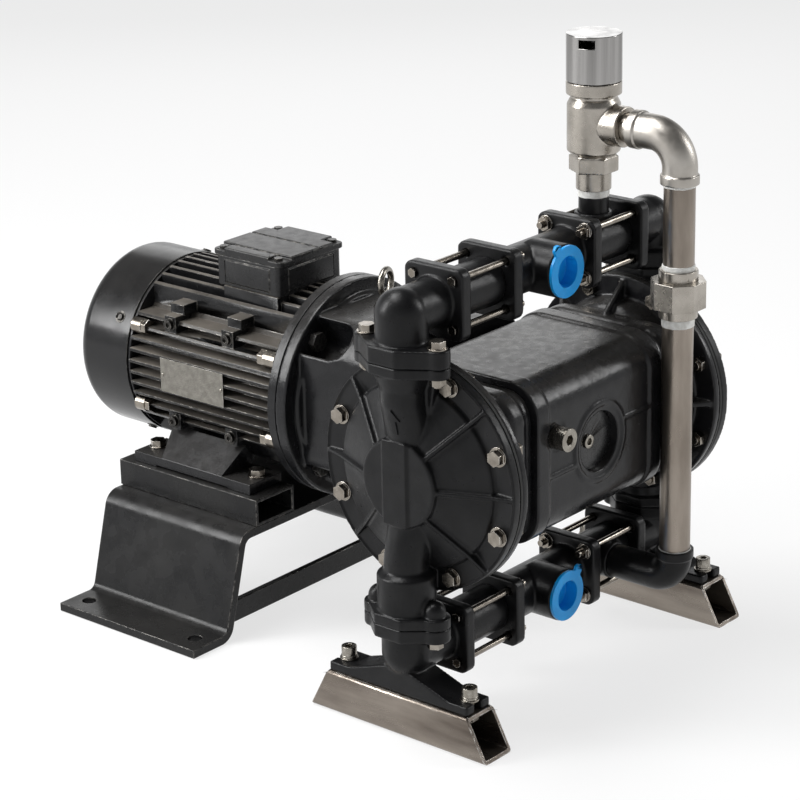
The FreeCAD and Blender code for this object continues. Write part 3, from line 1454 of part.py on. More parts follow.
def motor_housing():
    """Finned frame: a tube with flat fins along the shaft, lugs and the terminal base."""
    z = v.motor_height
    fins = []
    for k in range(-5, 5):
        offset = (k + 0.5) * v.fin_pitch
        half = v.fin_thick / 2
        fins.append(block("side_fin", (-v.fin_r, frame_start, z + offset - half),
                          (v.fin_r, frame_end, z + offset + half)))
        fins.append(block("top_fin", (offset - half, frame_start, z - v.fin_r),
                          (offset + half, frame_end, z + v.fin_r)))
    round_bar = rod("fin_round", v.fin_r, v.frame_long, (0, frame_start, z), "Y")
    trimmed = common("fins", fuse("fin_slabs", *fins), round_bar)
    tube = rod("frame_tube", v.frame_r, v.frame_long, (0, frame_start, z), "Y")
    lugs = []
    holes = []
    for side, y, c in lug_places():
        low = side * (v.frame_r - v.lug_root)
        high = side * v.lug_out
        low, high = (high, low) if side < 0 else (low, high)
        lugs.append(block("lug", (low, y - v.lug_wide / 2, c - v.lug_tall / 2),
                          (high, y + v.lug_wide / 2, c + v.lug_tall / 2)))
        if c.number > z.number:
            near, far = (-v.step_out, -v.frame_r / 2) if side < 0 else (v.frame_r / 2, v.step_out)
            foot = c + v.lug_tall / 2
            lugs.append(block("lug_step", (near, y - v.step_wide / 2, foot - 1),
                              (far, y + v.step_wide / 2, foot + v.step_tall)))
        axis = "-X" if side < 0 else "X"
        holes.append(rod("lug_hole", v.lug_screw_r, v.lug_screw_long,
                         (side * (v.lug_out - v.lug_screw_long), y, c), axis))
    y = v.gear_face + v.box_middle
    base = block("terminal_base",
                 (-v.base_wide / 2, y - v.base_front, box_bottom - v.base_tall),
                 (v.base_wide / 2, y + v.base_back, box_bottom))
    seat = block("box_seat", (-v.box_wide / 2 - 1, y - v.box_long / 2 - 1, box_bottom),
                 (v.box_wide / 2 + 1, y + v.box_long / 2 + 1, z + v.fin_r * 2))
    bore = rod("frame_bore", v.frame_bore_r, v.frame_long + 2, (0, frame_start - 1, z), "Y")
    return cut("motor_housing", fuse("frame_solid", tube, trimmed, base, *lugs), seat, bore,
               *holes)


def motor_screws():
    """Screws of the lugs, the terminal lid and the fan cover."""
    solids = []
    for side, y, c in lug_places():
        axis = "-X" if side < 0 else "X"
        shank = rod("lug_shank", v.lug_screw_r, v.lug_screw_long,
                    (side * (v.lug_out - v.lug_screw_long), y, c), axis)
        head = rod("lug_head", v.lug_screw_r * 1.9, v.lug_screw_head, (side * v.lug_out, y, c), axis)
        socket = prism("lug_socket", 6, v.lug_screw_r, v.lug_screw_head,
                       (side * (v.lug_out + v.lug_screw_head / 2), y, c), axis)
        solids.append(cut("lug_screw", fuse("lug_screw_solid", shank, head), socket))
    top = box_bottom + v.box_tall + v.lid_thick - v.lid_corner_deep
    y = v.gear_face + v.box_middle
    for a, b in tie_spots:
        spot = (a * (v.box_wide / 2 - v.lid_screw_in), y + b * (v.box_long / 2 - v.lid_screw_in))
        floor = box_bottom + v.box_tall - v.lid_screw_grip
        shank = rod("lid_shank", v.lid_screw_r, top - floor, (*spot, floor))
        head = rod("lid_head", v.lid_screw_r * 2, v.lid_screw_head, (*spot, top))
        solids.append(fuse("lid_screw", shank, head))
    return solids


def terminal_box():
    """Cast box for the motor's terminals, with the cable entry on the far side."""
    y = v.gear_face + v.box_middle
    low = box_bottom
    high = low + v.box_tall
    half_x = v.box_wide / 2
    half_y = v.box_long / 2
    wall = v.box_wall
    body = block("box_body", (-half_x, y - half_y, low), (half_x, y + half_y, high))
    proud = v.box_panel_proud
    side_field = half_y - v.box_panel_in
    front_field = half_x - v.box_panel_in
    panels = [block("side_panel", (-half_x - proud, y - side_field, low + v.box_panel_edge),
                    (half_x + proud, y + side_field, high - v.box_panel_edge)),
              block("front_panel", (-front_field, y - half_y - proud, low + v.box_panel_edge),
                    (front_field, y + half_y + proud, high - v.box_panel_edge))]
    inside = block("box_inside", (wall - half_x, y - half_y + wall, low + wall),
                   (half_x - wall, y + half_y - wall, high + 1))
    entry = rod("cable_entry", v.entry_r, wall + proud + 2,
                (half_x - wall - 1, y, low + v.box_tall / 2), "X")
    posts = []
    holes = []
    for a, b in tie_spots:
        spot = (a * (half_x - v.lid_screw_in), y + b * (half_y - v.lid_screw_in))
        posts.append(rod("box_post", v.lid_screw_in, v.box_tall - wall, (*spot, low + wall)))
        holes.append(rod("box_post_hole", v.lid_screw_r, v.lid_screw_grip,
                         (*spot, high - v.lid_screw_grip)))
    corners = rounds("box_rounded", body, v.box_round, upright)
    shell = cut("box_shell", fuse("box_panelled", corners, *panels), inside)
    return cut("terminal_box", fuse("box_posted", shell, *posts), entry, *holes)


def terminal_lid():
    """Thick lid of the terminal box with sunk corners and two grooves."""
    y = v.gear_face + v.box_middle
    low = box_bottom + v.box_tall
    top = low + v.lid_thick
    half_x = v.box_wide / 2 + v.lid_over
    half_y = v.box_long / 2 + v.lid_over_long
    plate = block("lid_plate", (-half_x, y - half_y, low), (half_x, y + half_y, top))

    def top_edge(edge):
        return abs(edge.CenterOfMass.z - float(top)) < 0.01

    cuts = []
    for a, b in tie_spots:
        spot = (a * (v.box_wide / 2 - v.lid_screw_in), y + b * (v.box_long / 2 - v.lid_screw_in))
        cuts.append(rod("lid_hole", v.lid_screw_r, v.lid_thick + 2, (*spot, low - 1)))
        near = (half_x - v.lid_corner, half_x + 1) if a > 0 else (-half_x - 1,
                                                                  v.lid_corner - half_x)
        deep = (half_y - v.lid_corner, half_y + 1) if b > 0 else (-half_y - 1,
                                                                  v.lid_corner - half_y)
        cuts.append(block("lid_corner", (near[0], y + deep[0], top - v.lid_corner_deep),
                          (near[1], y + deep[1], top + 1)))
    for x in (-v.lid_groove_near, v.lid_groove_far):
        cuts.append(block("lid_groove_cut", (x, y - half_y - 1, top - v.lid_groove_deep),
                          (x + v.lid_groove, y + half_y + 1, top + 1)))
    edged = rounds("lid_rounded", plate, v.box_round, upright)
    return cut("terminal_lid", rounds("lid_edged", edged, v.lid_edge_round, top_edge), *cuts)


def upright(edge):
    """Tells whether an edge is a straight vertical one."""
    ends = [vertex.Point for vertex in edge.Vertexes]
    return len(ends) == 2 and (ends[0] - ends[1]).cross(Vector(0, 0, 1)).Length < 1e-6


def fan_cover():
    """Pressed steel cover with a round back edge and a slotted grille."""
    z = v.motor_height
    start = cover_start
    end = start + v.cover_long

    def back_edge(edge):
        return edge.Curve.TypeId == "Part::GeomCircle" and edge.CenterOfMass.y > float(start) + 20

    outer = rounds("cover_outer", rod("cover_bar", v.cover_r, v.cover_long, (0, start, z), "Y"),
                   v.cover_round, back_edge)
    inner = rounds("cover_inner", rod("cover_void", v.cover_r - v.cover_wall,
                                      v.cover_long - v.cover_wall + 1, (0, start - 1, z), "Y"),
                   v.cover_round - v.cover_wall, back_edge)
    slots = []
    for k in range(int(v.grille_slots.number)):
        slot = block("grille_slot", (v.grille_in, 0, -v.grille_wide / 2),
                     (v.grille_out, v.cover_wall * 4, v.grille_wide / 2))
        group = add("Part::Compound", "grille_spoke")
        group.Links = [slot]
        slots.append(place(group, (0, end - v.cover_wall * 2, z),
                           Rotation(Vector(0, 1, 0), 360 / float(v.grille_slots) * k)))
    return cut("fan_cover", cut("cover_shell", outer, inner), *slots)


def motor_foot():
    """Foot of the motor frame on the near side: a long pad and a sloped web."""
    z = v.motor_height
    low = v.bracket_tall + v.tube_tall
    top = low + v.motor_foot_thick
    y = foot_middle
    out = v.motor_foot_out
    half = v.motor_foot_wide / 2
    pad = block("foot_pad", (-out - half, y - v.motor_foot_long / 2, low),
                (half - out, y + v.motor_foot_long / 2, top))
    slope = extrude("foot_slope", [(-out - half, top - 1), (half - out, top - 1), (half - out, z),
                                   (v.foot_web_in - out - half, z),
                                   (v.foot_web_in - out - half, top + v.foot_web_rise),
                                   (-out - half, top)],
                    v.foot_web_high * 2, (0, y - v.foot_web_high, 0), "Y")
    rise = top + v.foot_web_rise
    spread = extrude("foot_spread", [(y - v.foot_web_low, top - 1), (y + v.foot_web_low, top - 1),
                                     (y + v.foot_web_high, rise), (y + v.foot_web_high, z),
                                     (y - v.foot_web_high, z), (y - v.foot_web_high, rise)],
                     v.motor_foot_wide, (-out - half, 0, 0), "X")
    web = common("foot_web", slope, spread)
    relief = block("foot_relief_cut",
                   (-out - half - 1, y - v.foot_relief_half, low - 1),
                   (half - out + 1, y + v.foot_relief_half, low + v.foot_relief))
    frame = rod("foot_frame_round", v.fin_r, v.frame_long, (0, frame_start, z), "Y")
    holes = [rod("foot_bolt_hole", v.motor_bolt_r + v.loose_gap, v.motor_foot_thick + 2,
                 (-out, y + side * v.motor_bolt_gap / 2, low - 1)) for side in (-1, 1)]
    return cut("motor_foot", fuse("foot_solid", pad, web), frame, relief, *holes)


def motor_foot_bolts():
    """Four bolts with nuts that hold the motor's feet on the support tubes."""
    solids = []
    low = v.bracket_tall + v.tube_tall
    top = low + v.motor_foot_thick
    r = v.motor_bolt_r
    for a, b in tie_spots:
        spot = (a * v.motor_foot_out, foot_middle + b * v.motor_bolt_gap / 2)
        under = low - v.tube_wall
        shank = rod("mount_shank", r, top - under + r * 2, (*spot, under - r * 2))
        washer = rod("mount_washer", r * 2.1, 1.6, (*spot, top))
        head = prism("mount_head", 6, v.motor_bolt_head_r, r * 1.4, (*spot, top + 1.6))
        solids.append(fuse("mount_bolt", shank, washer, head))
        nut = prism("mount_nut", 6, v.motor_bolt_head_r, r * 1.6, (*spot, under - r * 1.6))
        solids.append(cut("mount_nut_bored", nut, rod("mount_nut_bore", r, r * 1.6 + 2,
                                                      (*spot, under - r * 1.6 - 1))))
    return solids


def support_tube():
    """Rectangular tube under the near feet of the motor."""
    low = v.bracket_tall
    out = v.tube_out
    half = v.tube_wide / 2
    wall = v.tube_wall
    start = v.bracket_front
    end = start + v.bracket_deep + v.tube_extra
    body = block("tube_body", (-out - half, start, low), (half - out, end, low + v.tube_tall))
    inside = block("tube_inside", (-out - half + wall, start - 1, low + wall),
                   (half - out - wall, end + 1, low + v.tube_tall - wall))
    holes = [rod("tube_hole", v.motor_bolt_r + v.loose_gap, wall + 2,
                 (-v.motor_foot_out, foot_middle + side * v.motor_bolt_gap / 2,
                  low + v.tube_tall - wall - 1)) for side in (-1, 1)]
    return cut("support_tube", body, inside, *holes)


def motor_bracket():
    """Bent plate bridge with drilled feet that carries the motor."""
    thick = v.bracket_thick
    top = v.bracket_tall
    foot = v.bracket_leg_foot
    points = [(v.bracket_foot_out, 0), (v.bracket_foot_out, thick), (foot, thick),
              (v.bracket_leg_top, top)]
    points += [(-a, b) for a, b in reversed(points)]
    under = [(leg_inside(0), 0), (leg_inside(top - thick), top - thick)]
    points += [(-a, b) for a, b in under] + list(reversed(under))
    plate = extrude("bracket_plate", points, v.bracket_deep,
                    (0, v.bracket_front, 0), "Y")

    def outer_bend(edge):
        mid = edge.CenterOfMass
        return abs(mid.x) > 60 and (mid.z > float(top) - 1 or mid.z < 1) \
            and abs(mid.x) < float(foot) and abs(edge.tangentAt(edge.FirstParameter).y) > 0.9

    def inner_bend(edge):
        mid = edge.CenterOfMass
        level = abs(mid.z - float(top - thick)) < 0.1 or abs(mid.z - float(thick)) < 0.1
        return level and abs(mid.x) < float(foot) + 1 \
            and abs(edge.tangentAt(edge.FirstParameter).y) > 0.9

    bent = rounds("bracket_outer_bends", plate, v.bracket_bend + thick, outer_bend)
    bent = rounds("bracket_inner_bends", bent, v.bracket_bend, inner_bend)
    middle = v.bracket_front + v.bracket_deep / 2
    holes = [rod("bracket_hole", v.bracket_hole_r, thick + 2,
                 (a * v.bracket_hole_out, middle + b * v.bracket_hole_gap / 2, -1))
             for a, b in tie_spots]
    return cut("motor_bracket", bent, *holes)


def leg_inside(z):
    """Distance of the bracket leg's inner face from the middle at a height."""
    slope = float(v.bracket_leg_foot - v.bracket_leg_top) / float(v.bracket_tall - v.bracket_thick)
    return v.bracket_leg_foot - v.bracket_thick * math.sqrt(1 + slope * slope) \
        + (v.bracket_thick - z) * slope


def cross_bar():
    """Flat bar welded between the bracket's legs at the front."""
    low = v.bar_low
    high = low + v.bar_tall
    points = [(-leg_inside(low), low), (leg_inside(low), low), (leg_inside(high), high),
              (-leg_inside(high), high)]
    return extrude("cross_bar_solid", points, v.bar_thick,
                   (0, v.bracket_front + 1, 0), "Y")


def spool(name, side, z, branch=None):
    """Straight manifold pipe between elbow and tee. A branch gives its boss an axis."""
    long = v.square_face - v.tee_face
    start = v.tee_face if side > 0 else -v.square_face
    body = rod(name + "_pipe", v.spool_r, long, (start, 0, z), "X")
    bore = rod(name + "_bore", v.pipe_bore_r, long + 2, (start - 1, 0, z), "X")
    if branch is None:
        return cut(name, body, bore)
    boss = rod(name + "_boss", v.boss_r, v.boss_up, (bypass_x, 0, z), branch)
    hole = rod(name + "_boss_bore", v.riser_bore_r, v.boss_up + 1, (bypass_x, 0, z), branch)
    deep = v.boss_up - v.thread_deep
    step = (0, 0, deep) if branch == "Z" else (0, -deep, 0)
    thread = rod(name + "_boss_thread", v.riser_r, v.thread_deep + 1,
                 (bypass_x, step[1], z + step[2]), branch)
    return cut(name, fuse(name + "_solid", body, boss), bore, hole, thread)


def tee(name, z):
    """Middle of a manifold, with the port that looks out between the chambers."""
    half = v.tee_face
    run = rod(name + "_run", v.spool_r, half * 2, (-half, 0, z), "X")
    port = rod(name + "_port", v.port_r, v.port_face, (0, 0, z), "-Y")
    flanges = [square_flange(name + "_flange", start, z)
               for start in (-half, half - v.square_thick)]
    holes = tie_holes(name + "_tie_hole", -half - 1, v.square_thick + 2, z)
    holes += tie_holes(name + "_tie_hole_far", half - v.square_thick - 1, v.square_thick + 2, z)
    return cut(name, fuse(name + "_solid", run, port, *flanges),
               rod(name + "_bore", v.pipe_bore_r, half * 2 + 2, (-half - 1, 0, z), "X"),
               rod(name + "_port_bore", v.port_inner_r, v.port_face, (0, 0, z), "-Y"),
               rod(name + "_port_thread", v.port_bore_r, v.port_deep + 1,
                   (0, v.port_deep - v.port_face, z), "-Y"), *holes)


def tie_bolts(side):
    """Eight long bolts that clamp one side's spools between their flanges."""
    solids = []
    axis = "X" if side > 0 else "-X"
    half = v.tie_square / 2
    head_face = side * (v.square_face + v.square_thick)
    nut_face = side * (v.tee_face - v.square_thick)
    reach = v.square_face + v.square_thick - v.tee_face + v.square_thick
    long = reach + v.tie_nut_tall + v.tie_tail
    for z in (lower_z, upper_z):
        for a, b in tie_spots:
            y = a * half
            c = z + b * half
            start = nut_face - side * (v.tie_nut_tall + v.tie_tail)
            shank = rod("tie_shank", v.tie_r, long, (start, y, c), axis)
            head = prism("tie_head", 6, v.tie_head_r, v.tie_head_tall, (head_face, y, c), axis)
            solids.append(fuse("tie_bolt", shank, head))
            nut = prism("tie_nut", 6, v.tie_nut_r, v.tie_nut_tall,
                        (nut_face - side * v.tie_nut_tall, y, c), axis)
            washer = rod("tie_washer", v.tie_washer_r, v.tie_washer_thick,
                         (nut_face - side * v.tie_washer_thick, y, c), axis)
            bore = rod("tie_nut_bore", v.tie_r, v.tie_nut_tall + 2,
                       (nut_face - side * (v.tie_nut_tall + 1), y, c), axis)
            solids.append(cut("tie_nut_bored", fuse("tie_nut_solid", nut, washer), bore))
    return solids


def port_cap(name, z, lean):
    """Thin plastic cap with a pull tab, pushed into a port."""
    face = -v.port_face
    brim = rod(name + "_brim", v.cap_r, v.cap_brim, (0, face, z), "-Y")
    cup = rod(name + "_cup", v.port_bore_r - v.cap_gap, v.cap_cup_deep + v.cap_brim / 2,
              (0, face - v.cap_brim / 2, z), "Y")
    out = v.cap_r + v.cap_tab_out - v.cap_tab_wide / 2
    angle = math.radians(lean)
    tip = (out * math.sin(angle), face, z + out * math.cos(angle))
    tab = rod(name + "_tab", v.cap_tab_wide / 2, v.cap_brim, tip, "-Y")
    neck = block(name + "_tab_neck", (-v.cap_tab_wide / 2, -v.cap_brim, 0),
                 (v.cap_tab_wide / 2, 0, out))
    group = add("Part::Compound", name + "_tab_turned")
    group.Links = [neck]
    place(group, (0, face, z), Rotation(Vector(0, 1, 0), lean))
    hollow = rod(name + "_hollow", v.port_bore_r - v.cap_gap - v.cap_cup_wall,
                 v.cap_cup_deep + v.cap_brim - v.cap_cup_wall,
                 (0, face - v.cap_brim, z), "Y")
    return cut(name, fuse(name + "_solid", brim, cup, tab, group), hollow)


def riser_nipple():
    """Black pipe stub between the manifold's boss and the relief valve's sleeve."""
    low = upper_z + v.boss_up - v.thread_deep
    high = v.riser_top + v.thread_deep
    body = rod("riser", v.riser_r, high - low, (bypass_x, 0, low))
    return cut("riser_nipple", body, rod("riser_bore", v.riser_bore_r, high - low + 2,
                                         (bypass_x, 0, low - 1)))


def inlet_sleeve():
    """Threaded socket under the relief valve."""
    body = rod("sleeve", v.sleeve_r, v.sleeve_top - v.riser_top, (bypass_x, 0, v.riser_top))
    return cut("inlet_sleeve", body,
               rod("sleeve_thread", v.riser_r, v.thread_deep + 1, (bypass_x, 0, v.riser_top - 1)),
               rod("sleeve_bore", v.riser_bore_r, v.sleeve_top, (bypass_x, 0, v.riser_top)))


def relief_body():
    """Valve body with hexagon foot, side outlet and turned collar."""
    x = bypass_x
    hexagon = prism("valve_hex", 6, v.hex_r, v.hex_tall, (x, 0, v.sleeve_top))
    barrel = revolve("valve_barrel",
                     [(0, hex_top), (v.valve_r - 6, hex_top), (v.valve_r, hex_top + 5),
                      (v.valve_r, neck_low - 5), (v.valve_neck_r + 1, neck_low),
                      (v.valve_neck_r, neck_low), (v.valve_neck_r, collar_low),
                      (v.valve_cap_r, collar_low), (v.valve_cap_r, collar_top),
                      (v.bonnet_r, collar_top), (v.bonnet_r, collar_top + v.bonnet_tall),
                      (0, collar_top + v.bonnet_tall)], (x, 0, 0))
    outlet = rod("valve_outlet", v.outlet_boss_r, v.outlet_reach, (x, 0, outlet_z), "-Y")
    bores = [
        rod("valve_inlet", v.poppet_seat_r, v.hex_tall + v.seat_rise + 1, (x, 0, v.sleeve_top - 1)),
        rod("valve_chamber", v.valve_r - v.valve_wall, neck_low - 4 - seat_z, (x, 0, seat_z)),
        rod("stem_bore", v.stem_r + v.running_gap, v.valve_tall * 2, (x, 0, seat_z)),
        rod("outlet_bore", v.outlet_bore_r, v.outlet_reach + 1, (x, 0, outlet_z), "-Y"),
        rod("outlet_thread", v.nipple_r, v.thread_deep + 1,
            (x, v.thread_deep - v.outlet_reach, outlet_z), "-Y"),
    ]
    return cut("relief_body", fuse("valve_solid", hexagon, barrel, outlet), *bores)


def relief_cap():
    """Adjusting cap: a turned shell with a sight slot, on a stem with the spring plate."""
    x = bypass_x
    low = collar_top + v.cap_under
    top = low + v.valve_cap_tall
    shell = rod("cap_shell", v.valve_cap_r, v.valve_cap_tall, (x, 0, low))
    hollow = rod("cap_hollow", v.valve_cap_r - v.cap_shell_wall,
                 v.valve_cap_tall - v.cap_shell_wall + 1, (x, 0, low - 1))
    slot = block("cap_slot", (-v.valve_cap_r - 1, -v.slot_wide / 2, -v.slot_tall),
                 (0, v.slot_wide / 2, 0))
    group = add("Part::Compound", "cap_slot_turned")
    group.Links = [slot]
    place(group, (x, 0, top - v.slot_under), Rotation(Vector(0, 0, 1), v.slot_turn.number))
    stem = rod("cap_stem", v.stem_r, top - spring_top - 1, (x, 0, spring_top))
    plate = rod("spring_plate", v.spring_r + v.spring_wire_r + 0.5, v.plate_tall,
                (x, 0, spring_top))
    return fuse("relief_cap", cut("cap_hollowed", shell, hollow, group), stem, plate)


def relief_poppet():
    """Disc that the spring holds on the inlet seat, with a guide stem."""
    x = bypass_x
    disc = taper("poppet_disc", v.poppet_r, v.poppet_r - 1, v.poppet_tall,
                 (x, 0, seat_z + v.running_gap))
    guide = rod("poppet_guide", v.poppet_guide_r, v.poppet_tall * 2,
                (x, 0, seat_z + v.running_gap))
    return fuse("relief_poppet", disc, guide)


def relief_spring():
    """Coil spring between the poppet and the cap's plate."""
    x = bypass_x
    low = seat_z + v.poppet_tall + v.spring_wire_r + 0.1
    high = spring_top - v.spring_wire_r - 0.1
    helix = add("Part::Helix", "spring_line")
    bind(helix, Radius=v.spring_r, Height=high - low, Pitch=(high - low) / 4)
    place(helix, (x, 0, low))
    wire = add("Part::Circle", "spring_wire")
    bind(wire, Radius=v.spring_wire_r)
    place(wire, (x + v.spring_r, 0, low), Rotation(Vector(1, 0, 0), 90))
    doc.recompute()
    item = add("Part::Sweep", "relief_spring_coil")
    item.Sections = [wire]
    item.Spine = (helix, [])
    item.Solid = True
    item.Frenet = True
    return item


def outlet_nipple():
    """Short nipple between the valve's outlet and the bright elbow."""
    start = v.thread_deep - v.outlet_reach
    long = v.elbow_mouth - v.outlet_reach + v.thread_deep * 2
    body = rod("outlet_stub", v.nipple_r, long, (bypass_x, start, outlet_z), "-Y")
    return cut("outlet_nipple", body, rod("outlet_stub_bore", v.outlet_bore_r, long + 2,
                                          (bypass_x, start + 1, outlet_z), "-Y"))


def pipe_elbow(name, corner_z, bend, wire, spin, ends):
    """Threaded elbow in the plane of the bypass: a quarter bend with a socket at each end."""
    x = bypass_x
    upward = 1 if spin == 180.0 else -1
    middle = (x, bend - v.bypass_out, corner_z - upward * bend)
    pieces = [ring(name + "_bend", bend, wire, middle, "X", 90.0, spin)]
    bores = [ring(name + "_bend_bore", bend, v.riser_bore_r, middle, "X", 90.0, spin)]
    for label, start, long, axis, stub in ends:
        pieces.append(rod(name + label, wire, long, start, axis))
        bead_start = [a + b * (float(long) - float(v.bead_long))
                      for a, b in zip(start, TURNS[axis].multVec(Vector(0, 0, 1)))]
        pieces.append(rod(name + label + "_bead", v.bead_r, v.bead_long, bead_start, axis))
        bores.append(rod(name + label + "_bore", v.riser_bore_r, long + 1, start, axis))
        thread_start = [a + b * (float(long) - float(v.thread_deep))
                        for a, b in zip(start, TURNS[axis].multVec(Vector(0, 0, 1)))]
        bores.append(rod(name + label + "_thread", stub, v.thread_deep + 1, thread_start, axis))
    return cut(name, fuse(name + "_solid", *pieces), *bores)


def bypass_elbow_top():
    """Bright elbow that turns the relief flow down."""
    x = bypass_x
    ends = [("_mouth", (x, v.bend_r - v.bypass_out, outlet_z),
             v.bypass_out - v.bend_r - v.elbow_mouth, "Y", v.nipple_r),
            ("_foot", (x, -v.bypass_out, outlet_z - v.bend_r), v.elbow_foot, "-Z", v.bypass_r)]
    return pipe_elbow("bypass_elbow_top", outlet_z, v.bend_r, v.bend_pipe_r, 180.0, ends)


def bypass_elbow_bottom():
    """Black elbow that leads the relief flow back into the suction manifold."""
    x = bypass_x
    arm = v.bypass_out - v.low_bend_r - v.boss_up
    ends = [("_head", (x, -v.bypass_out, lower_z + v.low_bend_r), v.elbow_head, "Z", v.bypass_r)]
    body = pipe_elbow("bypass_elbow_bend", lower_z, v.low_bend_r, v.bend_pipe_r, 270.0, ends)
    tail = rod("low_arm", v.bend_pipe_r, arm, (x, v.low_bend_r - v.bypass_out, lower_z), "Y")
    stub = rod("low_arm_stub", v.riser_r, arm + v.thread_deep,
               (x, v.low_bend_r - v.bypass_out, lower_z), "Y")
    return cut("bypass_elbow_bottom", fuse("low_solid", body, tail, stub),
               rod("low_arm_bore", v.riser_bore_r, arm + v.thread_deep + 1,
                   (x, v.low_bend_r - v.bypass_out, lower_z), "Y"))


def bypass_pipes():
    """The two straight pipes above and below the union."""
    x = bypass_x
    upper_low = v.union_top - v.union_hex_tall
    upper_high = outlet_z - v.bend_r - v.elbow_foot + v.thread_deep
    lower_low = lower_z + v.low_bend_r + v.elbow_head - v.thread_deep
    lower_high = union_low + v.union_hex_tall
    solids = []
    for low, high in ((upper_low, upper_high), (lower_low, lower_high)):
        body = rod("bypass_pipe", v.bypass_r, high - low, (x, -v.bypass_out, low))
        solids.append(cut("bypass_pipe_bored", body,
                          rod("bypass_bore", v.bypass_r - v.bypass_wall, high - low + 2,
                              (x, -v.bypass_out, low - 1))))
    return solids


def union_ends():
    """The two halves of the union, each screwed on its pipe, face to face inside the nut."""
    x = bypass_x
    solids = []
    face = (v.union_top + union_low) / 2
    for start, axis, hex_end in ((v.union_top, "-Z", 1), (union_low, "Z", -1)):
        long = (v.union_top - union_low) / 2
        hexagon = prism("union_hex", 6, v.union_hex_r, v.union_hex_tall,
                        (x, -v.bypass_out, start), axis)
        tail = rod("union_tail", v.union_tail_r, long, (x, -v.bypass_out, start), axis)
        thread = rod("union_thread", v.bypass_r, v.union_hex_tall + 1,
                     (x, -v.bypass_out, start + hex_end), axis)
        bore = rod("union_bore", v.bypass_r - v.bypass_wall, long + 2,
                   (x, -v.bypass_out, start + hex_end), axis)
        solids.append(cut("union_end", fuse("union_end_solid", hexagon, tail), thread, bore))
    return solids


def union_nut():
    """Eight-sided nut that draws the union's halves together."""
    x = bypass_x
    low = union_low + v.union_hex_tall
    tall = v.union_top - v.union_hex_tall - low
    body = prism("union_octagon", 8, v.union_nut_r, tall, (x, -v.bypass_out, low), "Z", 22.5)
    return cut("union_nut", body, rod("union_nut_bore", v.union_tail_r, tall + 2,
                                      (x, -v.bypass_out, low - 1)))


def with_far(piece):
    """A piece and its mirrored twin on the far side."""
    return [piece, mirror_x(piece)]


near_cover = chamber_cover()
suction = suction_elbow()
discharge = discharge_elbow()
plates = diaphragm_plates()
upper_seat = valve_seat(upper_seat_z)
lower_seat = valve_seat(lower_seam)

node("foot_tubes", *with_far(foot_tube()))
node("foot_bolting", *foot_bolting())
node("suction_elbows", *with_far(suction))
node("discharge_elbows", *with_far(discharge))
node("chamber_cover_near", near_cover)
node("chamber_cover_far", mirror_x(near_cover))
node("inner_chambers", *with_far(inner_chamber()))
node("diaphragms", *with_far(diaphragm()))
node("diaphragm_plates", *with_far(plates[0]), *with_far(plates[1]))
node("yoke_rod", yoke_rod())
node("rod_bushes", rod_bush(-1, "-X"), rod_bush(1, "X"))
for side, word in ((-1, "near"), (1, "far")):
    node("ball_suction_" + word, valve_ball(side, lower_seam))
    node("ball_discharge_" + word, valve_ball(side, upper_seat_z))
node("valve_seats", *with_far(upper_seat), *with_far(lower_seat))
node("hex_bolts", *hex_bolts())
node("crank_case", crank_case())
node("case_plugs", *case_plugs())
node("crank_shaft", crank_shaft())
node("crank_roller", crank_roller())
node("output_gear", output_gear())
node("counter_gear", counter_gear())
node("bearings", *bearings())
node("gear_housing", gear_housing())
node("flange_bolts", *flange_bolts())
node("eye_bolt", eye_bolt())
node("rotor_shaft", rotor_shaft())
node("rotor_core", rotor_core())
node("stator_core", stator_core())
node("motor_housing", motor_housing())
node("front_shield", front_shield())
node("rear_shield", rear_shield())
node("fan", fan())
node("fan_cover", fan_cover())
node("terminal_box", terminal_box())
node("terminal_lid", terminal_lid())
node("motor_screws", *motor_screws())
node("motor_feet", *with_far(motor_foot()))
node("motor_foot_bolts", *motor_foot_bolts())
node("support_tubes", *with_far(support_tube()))
node("motor_bracket", motor_bracket())
node("cross_bar", cross_bar())
node("spools", spool("upper_spool", -1, upper_z), spool("upper_spool_far", 1, upper_z, "Z"),
     spool("lower_spool", -1, lower_z), spool("lower_spool_far", 1, lower_z, "-Y"))
node("tees", tee("upper_tee", upper_z), tee("lower_tee", lower_z))
node("tie_bolts", *tie_bolts(-1), *tie_bolts(1))
node("port_cap_upper", port_cap("upper_cap", upper_z, v.cap_lean_upper.number))
node("port_cap_lower", port_cap("lower_cap", lower_z, v.cap_lean_lower.number))
node("riser_nipple", riser_nipple())
node("inlet_sleeve", inlet_sleeve())
node("relief_body", relief_body())
node("relief_cap", relief_cap())
node("relief_poppet", relief_poppet())
node("relief_spring", relief_spring())
node("outlet_nipple", outlet_nipple())
node("bypass_elbow_top", bypass_elbow_top())
node("bypass_elbow_bottom", bypass_elbow_bottom())
node("bypass_pipes", *bypass_pipes())
node("union_ends", *union_ends())
node("union_nut", union_nut())

doc.recompute()
for item in doc.Objects:
    if "Invalid" in item.State or "Error" in item.State:
        raise RuntimeError(f"{item.Name} did not compute: {item.State}")
for item in nodes:
    if item.Shape.isNull() or not item.Shape.isValid() or not item.Shape.Solids:
        raise RuntimeError(f"{item.Label} has no valid shape")

os.makedirs("parts", exist_ok=True)
for item in nodes:
    item.Shape.exportStep(f"parts/{item.Label}.step")
    print(item.Label, len(item.Shape.Solids), round(item.Shape.Volume / 1000, 1))
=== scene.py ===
import math
import bmesh
import bpy
from mathutils import Matrix, Vector, noise


